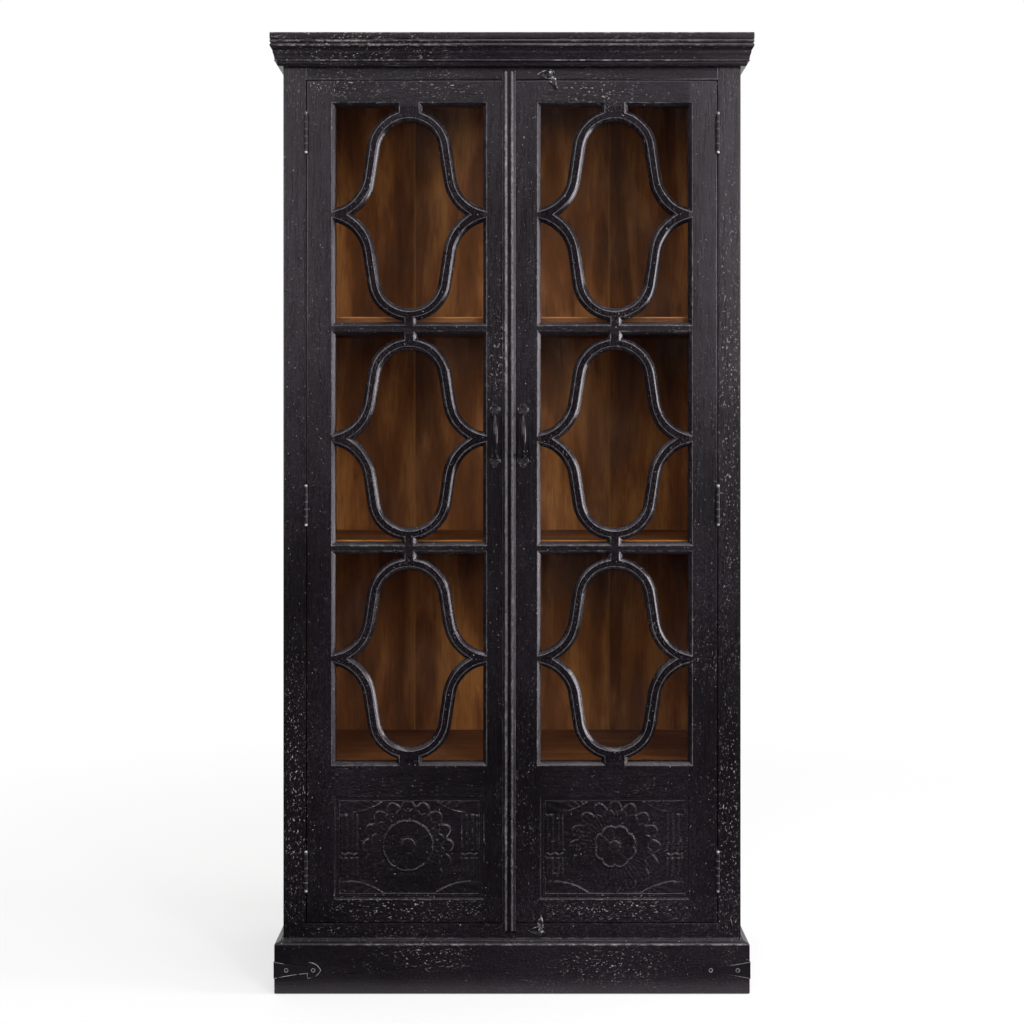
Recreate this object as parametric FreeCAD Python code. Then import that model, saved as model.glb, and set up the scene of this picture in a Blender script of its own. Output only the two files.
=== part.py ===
# Two-door carved display cabinet with glazed lantern lattice, in millimetres.
# X runs across the front, -Y is the front, +Z is up. The origin is under the middle of the whole box.
import FreeCAD, Part
import math
import os

V = FreeCAD.Vector

# Overall sizes
total_height = 2000.0
body_width = 958.0
body_depth = 400.0

# Boards of the carcass
side_thick = 20.0
board_thick = 20.0
back_thick = 14.0
plank_count = 4
plank_gap = 0.5
batten = 17.0

# Face frame
stile_face = 47.0
top_rail_face = 26.0
bottom_rail_face = 29.0
stop_gap = 1.0
stop_lap = 8.0
stop_depth = 18.0
stop_height = 30.0

# Cornice
cap_height = 31.0
cornice_overhang = 25.0
reed_depth = 1.5
reed_height = 2.0
reed_places = (14.0, 22.5)
crown_height = 36.0
crown_cove = 10.0
crown_waist = 19.5
crown_nose = 15.5
crown_nose_height = 9.0
crown_foot = 10.0

# Plinth
plinth_height = 110.0
plinth_side_overhang = 15.0
plinth_front_overhang = 25.0
plinth_thick = 40.0
plinth_bevel_height = 8.0
plinth_bevel_depth = 5.5

# Shelves, the lowest a little below the glazed opening
shelf_below_sight = 8.0
shelf_pitch = 471.5
shelf_count = 3
shelf_setback = 3.0

# Doors
door_thick = 24.0
door_gap = 2.0
door_stile = 59.5
door_top_rail = 53.0
lock_rail = 73.0
door_bottom_rail = 50.0
panel_height = 213.0
rebate_width = 8.0
rebate_shoulder = 12.0
glass_thick = 3.0
glass_fit = 1.0
bead_width = 8.0
sight_chamfer = 3.0

# Lattice: three rows of lantern cells between two bars
bar_height = 26.0
top_row_extra = 18.0
web_top = 32.0
web_bottom = 30.0
web_half_on_rail = 28.0
web_half_on_bar = 16.0
lantern_radius = 62.0
lantern_lean = math.radians(8.5)
lantern_flare = 74.0
cusp_inset = 37.0
flare_flattest = math.radians(52.0)
arm_width = 27.0
stem_half = 15.0
fret_chamfer = 3.0

# Carved panel
panel_recess = 5.0
panel_tongue = 6.0
panel_border = 9.0
border_depth = 1.5
rosette_radius = 92.0
rosette_rise = 2.0
ring_radius = 48.0
ring_width = 9.0
ring_rise = 1.6
button_radius = 15.0
button_rise = 2.4

# Cover moulding on the right door
astragal_left = 20.0
astragal_right = 7.5
astragal_base = 4.0
astragal_clear = 0.5
astragal_reed = 5.2
astragal_edge = 2.0
astragal_lap_top = 17.0
astragal_lap_bottom = 15.0

# Butt hinges
hinge_length = 76.0
hinge_leaf = 1.5
hinge_leaf_depth = 20.0
hinge_proud = 4.2
knuckle_radius = 3.8
knuckle_count = 5
knuckle_gap = 0.4
pin_radius = 1.6
pin_clear = 0.05
tip_radius = 3.4
hinge_from_top = 110.0
hinge_from_bottom = 108.0
hinge_middle_drop = 780.0

# Bow handles
handle_height = 1162.0
handle_left_offset = 35.5
handle_right_offset = 23.0
plate_spacing = 106.0
plate_thick = 2.5
lobe_radius = 6.5
lobe_offset = 6.0
lobe_outer_offset = 8.4
plate_root = 2.0
grip_bend = 13.0
grip_end_radius = 3.6
grip_middle_radius = 7.5
grip_stand = 28.5
screw_head_radius = 2.6
screw_top_radius = 1.3
screw_head_rise = 1.4

# Turn latches
latch_top_x = 80.0
latch_bottom_x = 60.0
latch_top_rise = 11.0
latch_bottom_drop = 15.0
latch_plate_length = 27.0
latch_plate_half = 10.0
latch_plate_sag = 7.5
latch_plate_thick = 2.0
latch_gap = 0.3
button_thick = 3.0
button_boss = 6.0
button_length = 34.0
button_neck_half = 3.0
button_barb_at = 13.0
button_barb_drop = 1.5
button_head_half = 7.0
button_tip_half = 1.2
button_lean = math.radians(25.0)
pivot_radius = 2.0
pivot_clear = 0.06
pivot_head_radius = 4.6
pivot_top_radius = 2.8
pivot_head_rise = 2.6

# Corner straps on the plinth
strap_thick = 1.5
strap_height = 50.6
strap_half = 18.0
strap_neck_half = 7.0
strap_neck = 70.0
strap_barb = 3.0
strap_head_half = 17.5
strap_length = 99.0
strap_bulge_out = 4.0
strap_bulge_up = 3.0
strap_nails_at = (25.0, 81.0)
nail_radius = 2.6
nail_top_radius = 1.3
nail_rise = 1.3

# Two places closer than this are one
same_place = 1e-6

# Planes and levels that the pieces share
handle_reach = grip_stand + grip_middle_radius
front = -(body_depth - handle_reach) / 2
back = front + body_depth
frame_thick = door_thick + stop_gap
body_half = body_width / 2
inner_half = body_half - side_thick
opening_half = body_half - stile_face
cap_bottom = total_height - cap_height
crown_bottom = cap_bottom - crown_height
opening_top = crown_bottom - top_rail_face
opening_bottom = plinth_height + bottom_rail_face
behind_frame = front + frame_thick
back_front = back - back_thick
plinth_half = body_half + plinth_side_overhang
plinth_front_y = front - plinth_front_overhang

door_bottom = opening_bottom + door_gap
door_top = opening_top - door_gap
meeting_edge = door_gap / 2
hinge_edge = opening_half - door_gap
sight_in = meeting_edge + door_stile
sight_out = hinge_edge - door_stile
sight_middle = (sight_in + sight_out) / 2
sight_half = (sight_out - sight_in) / 2
panel_bottom = door_bottom + door_bottom_rail
panel_top = panel_bottom + panel_height
sight_bottom = panel_top + lock_rail
sight_top = door_top - door_top_rail
rebate_y = front + rebate_shoulder
door_back = front + door_thick

row_height = (sight_top - sight_bottom - 2 * bar_height - top_row_extra) / 3
bar_bottoms = (sight_bottom + row_height, sight_bottom + 2 * row_height + bar_height)
row_spans = {
    "lower": (sight_bottom, bar_bottoms[0]),
    "middle": (bar_bottoms[0] + bar_height, bar_bottoms[1]),
    "upper": (bar_bottoms[1] + bar_height, sight_top),
}

pin_x = opening_half - door_gap / 2
pin_y = front - hinge_proud
hinge_middles = (
    door_bottom + hinge_from_bottom,
    door_top - hinge_from_top - hinge_middle_drop,
    door_top - hinge_from_top,
)

latch_plate_y = front - latch_plate_thick
latch_places = {
    "top": (latch_top_x, opening_top + latch_top_rise),
    "bottom": (latch_bottom_x, opening_bottom - latch_bottom_drop),
}

SIDES = {"left": -1, "right": 1}
handle_offsets = {"left": handle_left_offset, "right": handle_right_offset}

parts = {}


# Plain shapes

def box(x0, x1, y0, y1, z0, z1):
    """A block between two corners, whichever way round x is given."""
    low, high = min(x0, x1), max(x0, x1)
    return Part.makeBox(high - low, y1 - y0, z1 - z0, V(low, y0, z0))


def cylinder_y(x, y0, y1, z, radius):
    """A round bar along Y."""
    return Part.makeCylinder(radius, y1 - y0, V(x, y0, z), V(0, 1, 0))


def line(a, b):
    return Part.LineSegment(a, b).toShape()


def arc(a, middle, b):
    return Part.Arc(a, middle, b).toShape()


def polygon(points):
    return Part.makePolygon(list(points) + [points[0]])


def slab(wire, y0, y1):
    """Extrudes an outline drawn in the XZ plane at y0 as far as y1."""
    return Part.Face(wire).extrude(V(0, y1 - y0, 0))


def mirrored(shape):
    return shape.mirror(V(0, 0, 0), V(1, 0, 0))


def on_side(shape, side):
    """A shape drawn on the right, moved to the side wanted."""
    return shape if side > 0 else mirrored(shape)


def fused(shapes):
    whole = shapes[0]
    for shape in shapes[1:]:
        whole = whole.fuse(shape)
    return whole.removeSplitter()


def group(shapes):
    return Part.makeCompound(shapes)


def tangent_middle(start, heading, end):
    """The middle point of the arc that leaves start along heading and reaches end."""
    chord = end - start
    along = V(chord).normalize()
    turn = V(heading).normalize()
    lift = turn - along * turn.dot(along)
    angle = math.acos(turn.dot(along))
    sagitta = chord.Length / 2 * math.tan(angle / 2)
    return start + chord * 0.5 + lift.normalize() * sagitta


# Carcass

def carcass():
    for name, side in SIDES.items():
        parts[f"side_panel_{name}"] = box(
            side * inner_half, side * body_half, behind_frame, back, plinth_height, cap_bottom
        )
        parts[f"face_stile_{name}"] = face_stile(side)
    parts["face_rail_top"] = box(-opening_half, opening_half, front, behind_frame, opening_top, cap_bottom)
    parts["face_rail_bottom"] = box(
        -opening_half, opening_half, front, behind_frame, plinth_height, opening_bottom
    )
    bottom_top = opening_bottom + stop_lap
    parts["bottom_board"] = box(
        -inner_half, inner_half, behind_frame, back_front, bottom_top - board_thick, bottom_top
    )
    stop_bottom = opening_top - stop_lap
    parts["door_stop"] = box(
        -inner_half, inner_half, behind_frame, behind_frame + stop_depth,
        stop_bottom, stop_bottom + stop_height,
    )
    parts["back_planks"] = back_planks()
    tops = [sight_bottom - shelf_below_sight + i * shelf_pitch for i in range(shelf_count)]
    for name, top in zip(("lower", "middle", "upper"), tops):
        parts[f"shelf_{name}"] = box(
            -inner_half, inner_half, behind_frame + shelf_setback, back_front, top - board_thick, top
        )
    parts["board_battens"] = battens([bottom_top] + tops)


def face_stile(side):
    """A stile with the shallow mortises that the hinge leaves lie in."""
    stile = box(opening_half, body_half, front, behind_frame, plinth_height, cap_bottom)
    for middle in hinge_middles:
        stile = stile.cut(box(
            opening_half, opening_half + hinge_leaf, front, front + hinge_leaf_depth,
            middle - hinge_length / 2, middle + hinge_length / 2,
        ))
    return on_side(stile, side)


def back_planks():
    pitch = 2 * inner_half / plank_count
    planks = []
    for i in range(plank_count):
        left = -inner_half + i * pitch
        planks.append(box(
            left + plank_gap / 2, left + pitch - plank_gap / 2, back_front, back, plinth_height, cap_bottom
        ))
    return group(planks)


def battens(board_tops):
    """A batten under each end of each board, along the side panels."""
    bars = []
    for top in board_tops:
        under = top - board_thick
        for side in SIDES.values():
            bars.append(box(
                side * (inner_half - batten), side * inner_half,
                behind_frame + shelf_setback, back_front, under - batten, under,
            ))
    return group(bars)


# Cornice

def cap_ring(inset, depth, z0, z1):
    """The outer rim of the cap board on its front and two ends, from the edge in to depth."""
    half = body_half + cornice_overhang - inset
    y0 = front - cornice_overhang + inset
    rim = box(-half, half, y0, back, z0, z1)
    return rim.cut(box(-half + depth, half - depth, y0 + depth, back, z0, z1))


def crown_profile():
    """Outline of the crown moulding: (distance out from the body, height)."""
    cove_end = cap_bottom - crown_cove
    nose_top = crown_bottom + crown_nose_height
    top_out = V(cornice_overhang - reed_depth, 0, cap_bottom)
    waist = V(crown_waist, 0, cove_end)
    nose = V(crown_nose, 0, nose_top)
    foot_in = V(crown_foot, 0, crown_bottom)
    neck = V((crown_nose + crown_foot) / 2, 0, nose_top)
    cove_middle = tangent_middle(waist, waist - nose, top_out)
    return Part.Wire([
        line(V(0, 0, cap_bottom), top_out),
        arc(top_out, cove_middle, waist),
        line(waist, nose),
        line(nose, neck),
        line(neck, foot_in),
        line(foot_in, V(0, 0, crown_bottom)),
        line(V(0, 0, crown_bottom), V(0, 0, cap_bottom)),
    ])


def crown_run(length):
    """A straight crown moulding along +Y, its back on x = 0, starting at y = 0."""
    return Part.Face(crown_profile()).extrude(V(0, length, 0))


def cornice():
    half = body_half + cornice_overhang
    cap = box(-half, half, front - cornice_overhang, back, cap_bottom, total_height)
    for drop in reed_places:
        cap = cap.cut(cap_ring(0, reed_depth, total_height - drop - reed_height, total_height - drop))
    parts["cap_board"] = cap
    reach = cornice_overhang
    side_run = crown_run(body_depth + reach)
    side_run.translate(V(body_half, front - reach, 0))
    corner = V(body_half, front, 0)
    outer = V(body_half + reach, front - reach, 0)
    side_mitre = polygon([corner, outer, V(outer.x, back, 0), V(body_half, back, 0)])
    keep = Part.Face(side_mitre).extrude(V(0, 0, total_height))
    side_run = side_run.common(keep)
    parts["crown_right"] = side_run
    parts["crown_left"] = mirrored(side_run)
    front_run = crown_run(2 * half)
    front_run.rotate(V(0, 0, 0), V(0, 0, 1), -90)
    front_run.translate(V(-half, front, 0))
    front_mitre = polygon([
        V(-body_half, front, 0), V(body_half, front, 0), outer, V(-outer.x, outer.y, 0),
    ])
    parts["crown_front"] = front_run.common(Part.Face(front_mitre).extrude(V(0, 0, total_height)))


# Plinth

def plinth():
    bevel_bottom = plinth_height - plinth_bevel_height
    lower = box(-plinth_half, plinth_half, plinth_front_y, back, 0, bevel_bottom)
    rim = polygon([
        V(-plinth_half, plinth_front_y, bevel_bottom), V(plinth_half, plinth_front_y, bevel_bottom),
        V(plinth_half, back, bevel_bottom), V(-plinth_half, back, bevel_bottom),
    ])
    top_half = plinth_half - plinth_bevel_depth
    top = polygon([
        V(-top_half, plinth_front_y + plinth_bevel_depth, plinth_height),
        V(top_half, plinth_front_y + plinth_bevel_depth, plinth_height),
        V(top_half, back, plinth_height), V(-top_half, back, plinth_height),
    ])
    block = lower.fuse(Part.makeLoft([rim, top], True, True)).removeSplitter()
    front_back = plinth_front_y + plinth_thick
    inner = plinth_half - plinth_thick
    parts["plinth_front"] = block.common(
        box(-plinth_half, plinth_half, plinth_front_y, front_back, 0, plinth_height)
    )
    for name, side in SIDES.items():
        parts[f"plinth_{name}"] = block.common(
            box(side * inner, side * plinth_half, front_back, back, 0, plinth_height)
        )
    parts["plinth_back"] = box(-inner, inner, back - plinth_thick, back, 0, plinth_height)


def strap_outline():
    """Half of the strap seen flat: (distance from the corner, height), as a tapered bar with a spade head."""
    upper = [V(-strap_thick, 0, strap_half), V(strap_neck, 0, strap_neck_half)]
    barb = V(strap_neck + strap_barb, 0, strap_head_half)
    tip = V(strap_length, 0, 0)
    bulge = V((barb.x + tip.x) / 2 + strap_bulge_out, 0, (barb.z + tip.z) / 2 + strap_bulge_up)
    edges = [line(upper[0], upper[1]), line(upper[1], barb), arc(barb, bulge, tip)]
    lower_points = [V(p.x, 0, -p.z) for p in (upper[0], upper[1], barb, bulge)]
    edges += [
        arc(tip, lower_points[3], lower_points[2]),
        line(lower_points[2], lower_points[1]),
        line(lower_points[1], lower_points[0]),
        line(lower_points[0], upper[0]),
    ]
    return Part.Wire(edges)


def corner_straps():
    flat = slab(strap_outline(), 0, strap_thick)
    on_front = flat.copy()
    on_front.rotate(V(0, 0, 0), V(0, 0, 1), 180)
    on_front.translate(V(plinth_half, plinth_front_y, strap_height))
    on_end = flat.copy()
    on_end.rotate(V(0, 0, 0), V(0, 0, 1), 90)
    on_end.translate(V(plinth_half + strap_thick, plinth_front_y, strap_height))
    strap = fused([on_front, on_end])
    parts["corner_straps"] = group([strap, mirrored(strap)])
    nails = []
    for place in strap_nails_at:
        for side in SIDES.values():
            nails.append(Part.makeCone(
                nail_radius, nail_top_radius, nail_rise,
                V(side * (plinth_half - place), plinth_front_y - strap_thick, strap_height), V(0, -1, 0),
            ))
            nails.append(Part.makeCone(
                nail_radius, nail_top_radius, nail_rise,
                V(side * (plinth_half + strap_thick), plinth_front_y + place, strap_height), V(side, 0, 0),
            ))
    parts["strap_nails"] = group(nails)


# Door frames

def sight_edge_cut(a, b, away):
    """A wedge that bevels the front edge from a to b; away points from the opening into the wood."""
    corner = polygon([
        a, a + V(away) * sight_chamfer, a + V(0, sight_chamfer, 0),
    ])
    return Part.Face(corner).extrude(b - a)


def pane_spans():
    """The stretches of the sight edges beside panes, between rails, bars and the stems of the lattice."""
    spans = []
    for low, high in row_spans.values():
        middle = (low + web_bottom + high - web_top) / 2
        spans += [(low, middle - stem_half), (middle + stem_half, high)]
    return spans


def beside_web(web_half):
    """The two stretches of a rail or bar beside the web that the lattice stands on."""
    return (sight_in, sight_middle - web_half), (sight_middle + web_half, sight_out)


def door_stile_piece(side, name):
    """A stile with the rebate for glass and panel, its beveled sight edge, and hinge mortises."""
    at_hinge = name == "hinge"
    outer = hinge_edge if at_hinge else meeting_edge
    inner = sight_out if at_hinge else sight_in
    into = 1 if at_hinge else -1
    stile = box(outer, inner, front, door_back, door_bottom, door_top)
    stile = stile.cut(box(
        inner, inner + into * rebate_width, rebate_y, door_back,
        panel_bottom - rebate_width, sight_top + rebate_width,
    ))
    for z0, z1 in pane_spans() + [(panel_bottom, panel_top)]:
        stile = stile.cut(sight_edge_cut(V(inner, front, z0), V(inner, front, z1), V(into, 0, 0)))
    if at_hinge:
        for middle in hinge_middles:
            stile = stile.cut(box(
                hinge_edge - hinge_leaf, hinge_edge, front, front + hinge_leaf_depth,
                middle - hinge_length / 2, middle + hinge_length / 2,
            ))
    return on_side(stile, side)


def door_rail_piece(side, z0, z1, sight_below, sight_above):
    """A rail between the stiles, rebated and beveled on the edges that face an opening."""
    rail = box(sight_in, sight_out, front, door_back, z0, z1)
    across = ((sight_in, sight_out),)
    if sight_below:
        rail = rail.cut(box(sight_in, sight_out, rebate_y, door_back, z0, z0 + rebate_width))
        for x0, x1 in across if z0 == panel_top else beside_web(web_half_on_rail):
            rail = rail.cut(sight_edge_cut(V(x0, front, z0), V(x1, front, z0), V(0, 0, 1)))
    if sight_above:
        rail = rail.cut(box(sight_in, sight_out, rebate_y, door_back, z1 - rebate_width, z1))
        for x0, x1 in across if z1 == panel_bottom else beside_web(web_half_on_rail):
            rail = rail.cut(sight_edge_cut(V(x0, front, z1), V(x1, front, z1), V(0, 0, -1)))
    if sight_below and sight_above:
        shoulder = box(
            sight_in - rebate_width, sight_out + rebate_width, rebate_y, door_back,
            z0 + rebate_width, z1 - rebate_width,
        )
        rail = fused([rail, shoulder])
    return on_side(rail, side)


# Lattice

def lantern_quarter(half_height, grow=0.0):
    """The lantern's outline right of and above the cell's middle, moved outwards by grow."""
    sine, cosine = math.sin(lantern_lean), math.cos(lantern_lean)
    centre = V(0, 0, half_height - lantern_radius)
    outward = V(cosine, 0, sine)
    heading = V(sine, 0, -cosine)
    side_top = centre + outward * lantern_radius
    side_end = side_top + heading * ((side_top.z - lantern_flare) / cosine)
    furthest = side_end.x + side_end.z / math.tan(flare_flattest)
    chord = V(min(sight_half - cusp_inset, furthest), 0, 0) - side_end
    bend_radius = chord.dot(chord) / (2 * chord.dot(outward))
    bend_centre = side_end + outward * bend_radius
    reach = math.sqrt((bend_radius - grow) ** 2 - bend_centre.z ** 2)
    cusp = V(bend_centre.x - math.copysign(reach, bend_radius), 0, 0)
    flare_start = side_end + outward * grow
    radius = lantern_radius + grow
    return {
        "top": centre + V(0, 0, radius),
        "top_middle": centre + V(math.sin(math.pi / 4), 0, math.cos(math.pi / 4)) * radius,
        "side_top": centre + outward * radius,
        "flare_start": flare_start,
        "flare_middle": tangent_middle(flare_start, heading, cusp),
        "cusp": cusp,
    }


def arm_quarter(half_height, web_half):
    """The outer side of one arm, from the web that it stands on to the stem that joins the stile."""
    sine, cosine = math.sin(lantern_lean), math.cos(lantern_lean)
    heading = V(sine, 0, -cosine)
    centre = V(0, 0, half_height - lantern_radius)
    beside = lantern_quarter(half_height)
    side_top = beside["side_top"] + V(cosine, 0, sine) * arm_width
    flare_start = beside["flare_start"] + V(cosine, 0, sine) * arm_width
    level_x = flare_start.x + (flare_start.z - stem_half) / math.tan((math.pi / 2 - lantern_lean) / 2)
    flare_end = V(min(sight_half, level_x), 0, stem_half)
    reach = lantern_radius + arm_width
    middle_turn = (math.asin(web_half / reach) + math.pi / 2 - lantern_lean) / 2
    return {
        "web": V(web_half, 0, centre.z + math.sqrt(reach ** 2 - web_half ** 2)),
        "top_middle": centre + V(math.sin(middle_turn), 0, math.cos(middle_turn)) * reach,
        "side_top": side_top,
        "flare_start": flare_start,
        "flare_middle": tangent_middle(flare_start, heading, flare_end),
        "flare_end": flare_end,
        "stem": V(sight_half, 0, stem_half),
    }


def quarters(points, origin):
    """The same points in all four quarters round the cell's middle, going round it."""
    for mirror_x, mirror_z in ((False, False), (False, True), (True, True), (True, False)):
        yield mirror_z, {
            name: origin + V(-p.x if mirror_x else p.x, 0, -p.z if mirror_z else p.z)
            for name, p in points.items()
        }


def lantern_wire(half_height, origin, grow):
    edges = []
    for _, p in quarters(lantern_quarter(half_height, grow), origin):
        edges += [
            arc(p["top"], p["top_middle"], p["side_top"]),
            line(p["side_top"], p["flare_start"]),
            arc(p["flare_start"], p["flare_middle"], p["cusp"]),
        ]
    return Part.Wire(Part.__sortEdges__(edges))


def fret(side, low, high):
    """One lantern fret between the stiles, its webs on the bars or rails above and below."""
    half_height = (high - low - web_top - web_bottom) / 2
    origin = V(sight_middle, front, low + web_bottom + half_height)
    edges = []
    web_below = web_half_on_rail if low == sight_bottom else web_half_on_bar
    web_above = web_half_on_rail if high == sight_top else web_half_on_bar
    lower = [p for mirror_z, p in quarters(arm_quarter(half_height, web_below), origin) if mirror_z]
    upper = [p for mirror_z, p in quarters(arm_quarter(half_height, web_above), origin) if not mirror_z]
    for web_z, p in [(low, p) for p in lower] + [(high, p) for p in upper]:
        web_end = V(p["web"].x, front, web_z)
        edges += [
            line(web_end, p["web"]),
            arc(p["web"], p["top_middle"], p["side_top"]),
            line(p["side_top"], p["flare_start"]),
            arc(p["flare_start"], p["flare_middle"], p["flare_end"]),
        ]
        if p["flare_end"] != p["stem"]:
            edges.append(line(p["flare_end"], p["stem"]))
    for x in (origin.x - sight_half, origin.x + sight_half):
        edges.append(line(V(x, front, origin.z - stem_half), V(x, front, origin.z + stem_half)))
    for z, web_half in ((low, web_below), (high, web_above)):
        edges.append(line(V(origin.x - web_half, front, z), V(origin.x + web_half, front, z)))
    plate = slab(Part.Wire(Part.__sortEdges__(edges)), front, rebate_y)
    shaped = [e for e in plate.Edges if on_front_edge(e) and not on_border(e, low, high)]
    plate = plate.makeChamfer(fret_chamfer, shaped)
    plate = plate.cut(slab(lantern_wire(half_height, origin, 0), front, rebate_y))
    behind = origin + V(0, fret_chamfer, 0)
    bevel = Part.makeLoft(
        [lantern_wire(half_height, behind, 0), lantern_wire(half_height, origin, fret_chamfer)], True, True
    )
    return on_side(plate.cut(bevel), side)


def on_front_edge(edge):
    return all(abs(v.Point.y - front) < same_place for v in edge.Vertexes)


def on_border(edge, low, high):
    """True where a straight edge lies against a stile, rail or bar."""
    points = [v.Point for v in edge.Vertexes]
    on_stile = all(abs(abs(p.x - sight_middle) - sight_half) < same_place for p in points)
    on_bar = all(min(abs(p.z - low), abs(p.z - high)) < same_place for p in points)
    return on_stile or on_bar


def glazing_bar(side, low):
    bar = box(sight_in, sight_out, front, rebate_y, low, low + bar_height)
    high = low + bar_height
    for start, end in beside_web(web_half_on_bar):
        bar = bar.cut(sight_edge_cut(V(start, front, low), V(end, front, low), V(0, 0, 1)))
        bar = bar.cut(sight_edge_cut(V(start, front, high), V(end, front, high), V(0, 0, -1)))
    return on_side(bar, side)


def glass_beads(side):
    """Four strips behind the glass, flush with the back of the door."""
    y0 = rebate_y + glass_thick
    low, high = sight_bottom - rebate_width, sight_top + rebate_width
    left, right = sight_in - rebate_width, sight_out + rebate_width
    strips = [
        box(left, left + bead_width, y0, door_back, low, high),
        box(right - bead_width, right, y0, door_back, low, high),
        box(left + bead_width, right - bead_width, y0, door_back, low, low + bead_width),
        box(left + bead_width, right - bead_width, y0, door_back, high - bead_width, high),
    ]
    return group([on_side(strip, side) for strip in strips])


# Carved panel

def carved_panel(side):
    """A tongued panel with a sunk field, a raised rosette, its ring and its button."""
    face_y = front + panel_recess
    tongue_back = rebate_y + panel_tongue
    tongue = box(
        sight_in - rebate_width, sight_out + rebate_width, rebate_y, tongue_back,
        panel_bottom - rebate_width, panel_top + rebate_width,
    )
    field = box(sight_in, sight_out, face_y, rebate_y, panel_bottom, panel_top)
    groove = box(
        sight_in + panel_border, sight_out - panel_border, face_y, face_y + border_depth,
        panel_bottom + panel_border, panel_top - panel_border,
    )
    middle_x, middle_z = sight_middle, (panel_bottom + panel_top) / 2
    floor_y = face_y + border_depth

    def disc(radius, rise):
        """A flat cone frustum standing forward of the sunk field."""
        return Part.makeCone(radius, radius - rise, rise, V(middle_x, floor_y, middle_z), V(0, -1, 0))

    ring = disc(ring_radius + ring_width / 2, rosette_rise + ring_rise).cut(
        disc(ring_radius - ring_width / 2, rosette_rise + ring_rise)
    )
    panel = fused([
        tongue, field.cut(groove), disc(rosette_radius, rosette_rise), ring,
        disc(button_radius, rosette_rise + button_rise),
    ])
    return on_side(panel, side)


# Cover moulding between the doors

def astragal():
    """A double-reed strip on the right door that laps over the left one."""
    base_y = front - astragal_base
    reed_left = -astragal_left + astragal_reed + astragal_edge
    reed_right = astragal_right - astragal_reed - astragal_edge
    lap_y = front - astragal_clear

    def reed_edges(middle):
        return arc(
            V(middle - astragal_reed, base_y, 0),
            V(middle, base_y - astragal_reed, 0),
            V(middle + astragal_reed, base_y, 0),
        )

    edges = [
        line(V(-astragal_left, lap_y, 0), V(-astragal_left, base_y, 0)),
        line(V(-astragal_left, base_y, 0), V(reed_left - astragal_reed, base_y, 0)),
        reed_edges(reed_left),
        line(V(reed_left + astragal_reed, base_y, 0), V(reed_right - astragal_reed, base_y, 0)),
        reed_edges(reed_right),
        line(V(reed_right + astragal_reed, base_y, 0), V(astragal_right, base_y, 0)),
        line(V(astragal_right, base_y, 0), V(astragal_right, front, 0)),
        line(V(astragal_right, front, 0), V(meeting_edge, front, 0)),
        line(V(meeting_edge, front, 0), V(meeting_edge, lap_y, 0)),
        line(V(meeting_edge, lap_y, 0), V(-astragal_left, lap_y, 0)),
    ]
    section = Part.Face(Part.Wire(edges))
    low = opening_bottom - astragal_lap_bottom
    high = opening_top + astragal_lap_top
    strip = section.extrude(V(0, 0, high - low))
    strip.translate(V(0, 0, low))
    over_rail_y = front - astragal_clear
    for z0, z1 in ((low, door_bottom), (door_top, high)):
        strip = strip.cut(box(-astragal_left, astragal_right, over_rail_y, front, z0, z1))
    return strip


# Hinges

def knuckle_spans(middle, first):
    """The z spans of every other knuckle, from the first one counted from below."""
    pitch = hinge_length / knuckle_count
    low = middle - hinge_length / 2
    spans = []
    for i in range(first, knuckle_count, 2):
        spans.append((low + i * pitch + knuckle_gap / 2, low + (i + 1) * pitch - knuckle_gap / 2))
    return spans


def hinge_leaf_piece(middle, on_door):
    """A leaf let into the wood, with its share of the knuckles round the pin."""
    inner = hinge_edge - hinge_leaf if on_door else opening_half
    low, high = middle - hinge_length / 2, middle + hinge_length / 2
    leaf = box(inner, inner + hinge_leaf, front, front + hinge_leaf_depth, low, high)
    for z0, z1 in knuckle_spans(middle, 1 if on_door else 0):
        barrel = Part.makeCylinder(knuckle_radius, z1 - z0, V(pin_x, pin_y, z0))
        tab = box(inner, inner + hinge_leaf, pin_y, front, z0, z1)
        leaf = fused([leaf, barrel, tab])
    bore = Part.makeCylinder(pin_radius + pin_clear, hinge_length, V(pin_x, pin_y, low))
    return leaf.cut(bore)


def hinge_pin(middle):
    low, high = middle - hinge_length / 2, middle + hinge_length / 2
    shank = Part.makeCylinder(pin_radius, hinge_length, V(pin_x, pin_y, low))
    drop = math.sqrt(tip_radius ** 2 - pin_radius ** 2)
    balls = [
        Part.makeSphere(tip_radius, V(pin_x, pin_y, z)).cut(box(
            pin_x - tip_radius, pin_x + tip_radius, pin_y - tip_radius, pin_y + tip_radius,
            cut_low, cut_high,
        ))
        for z, cut_low, cut_high in (
            (low - drop / 2, low, low + tip_radius),
            (high + drop / 2, high - tip_radius, high),
        )
    ]
    return fused([shank] + balls)


# Handles

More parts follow.
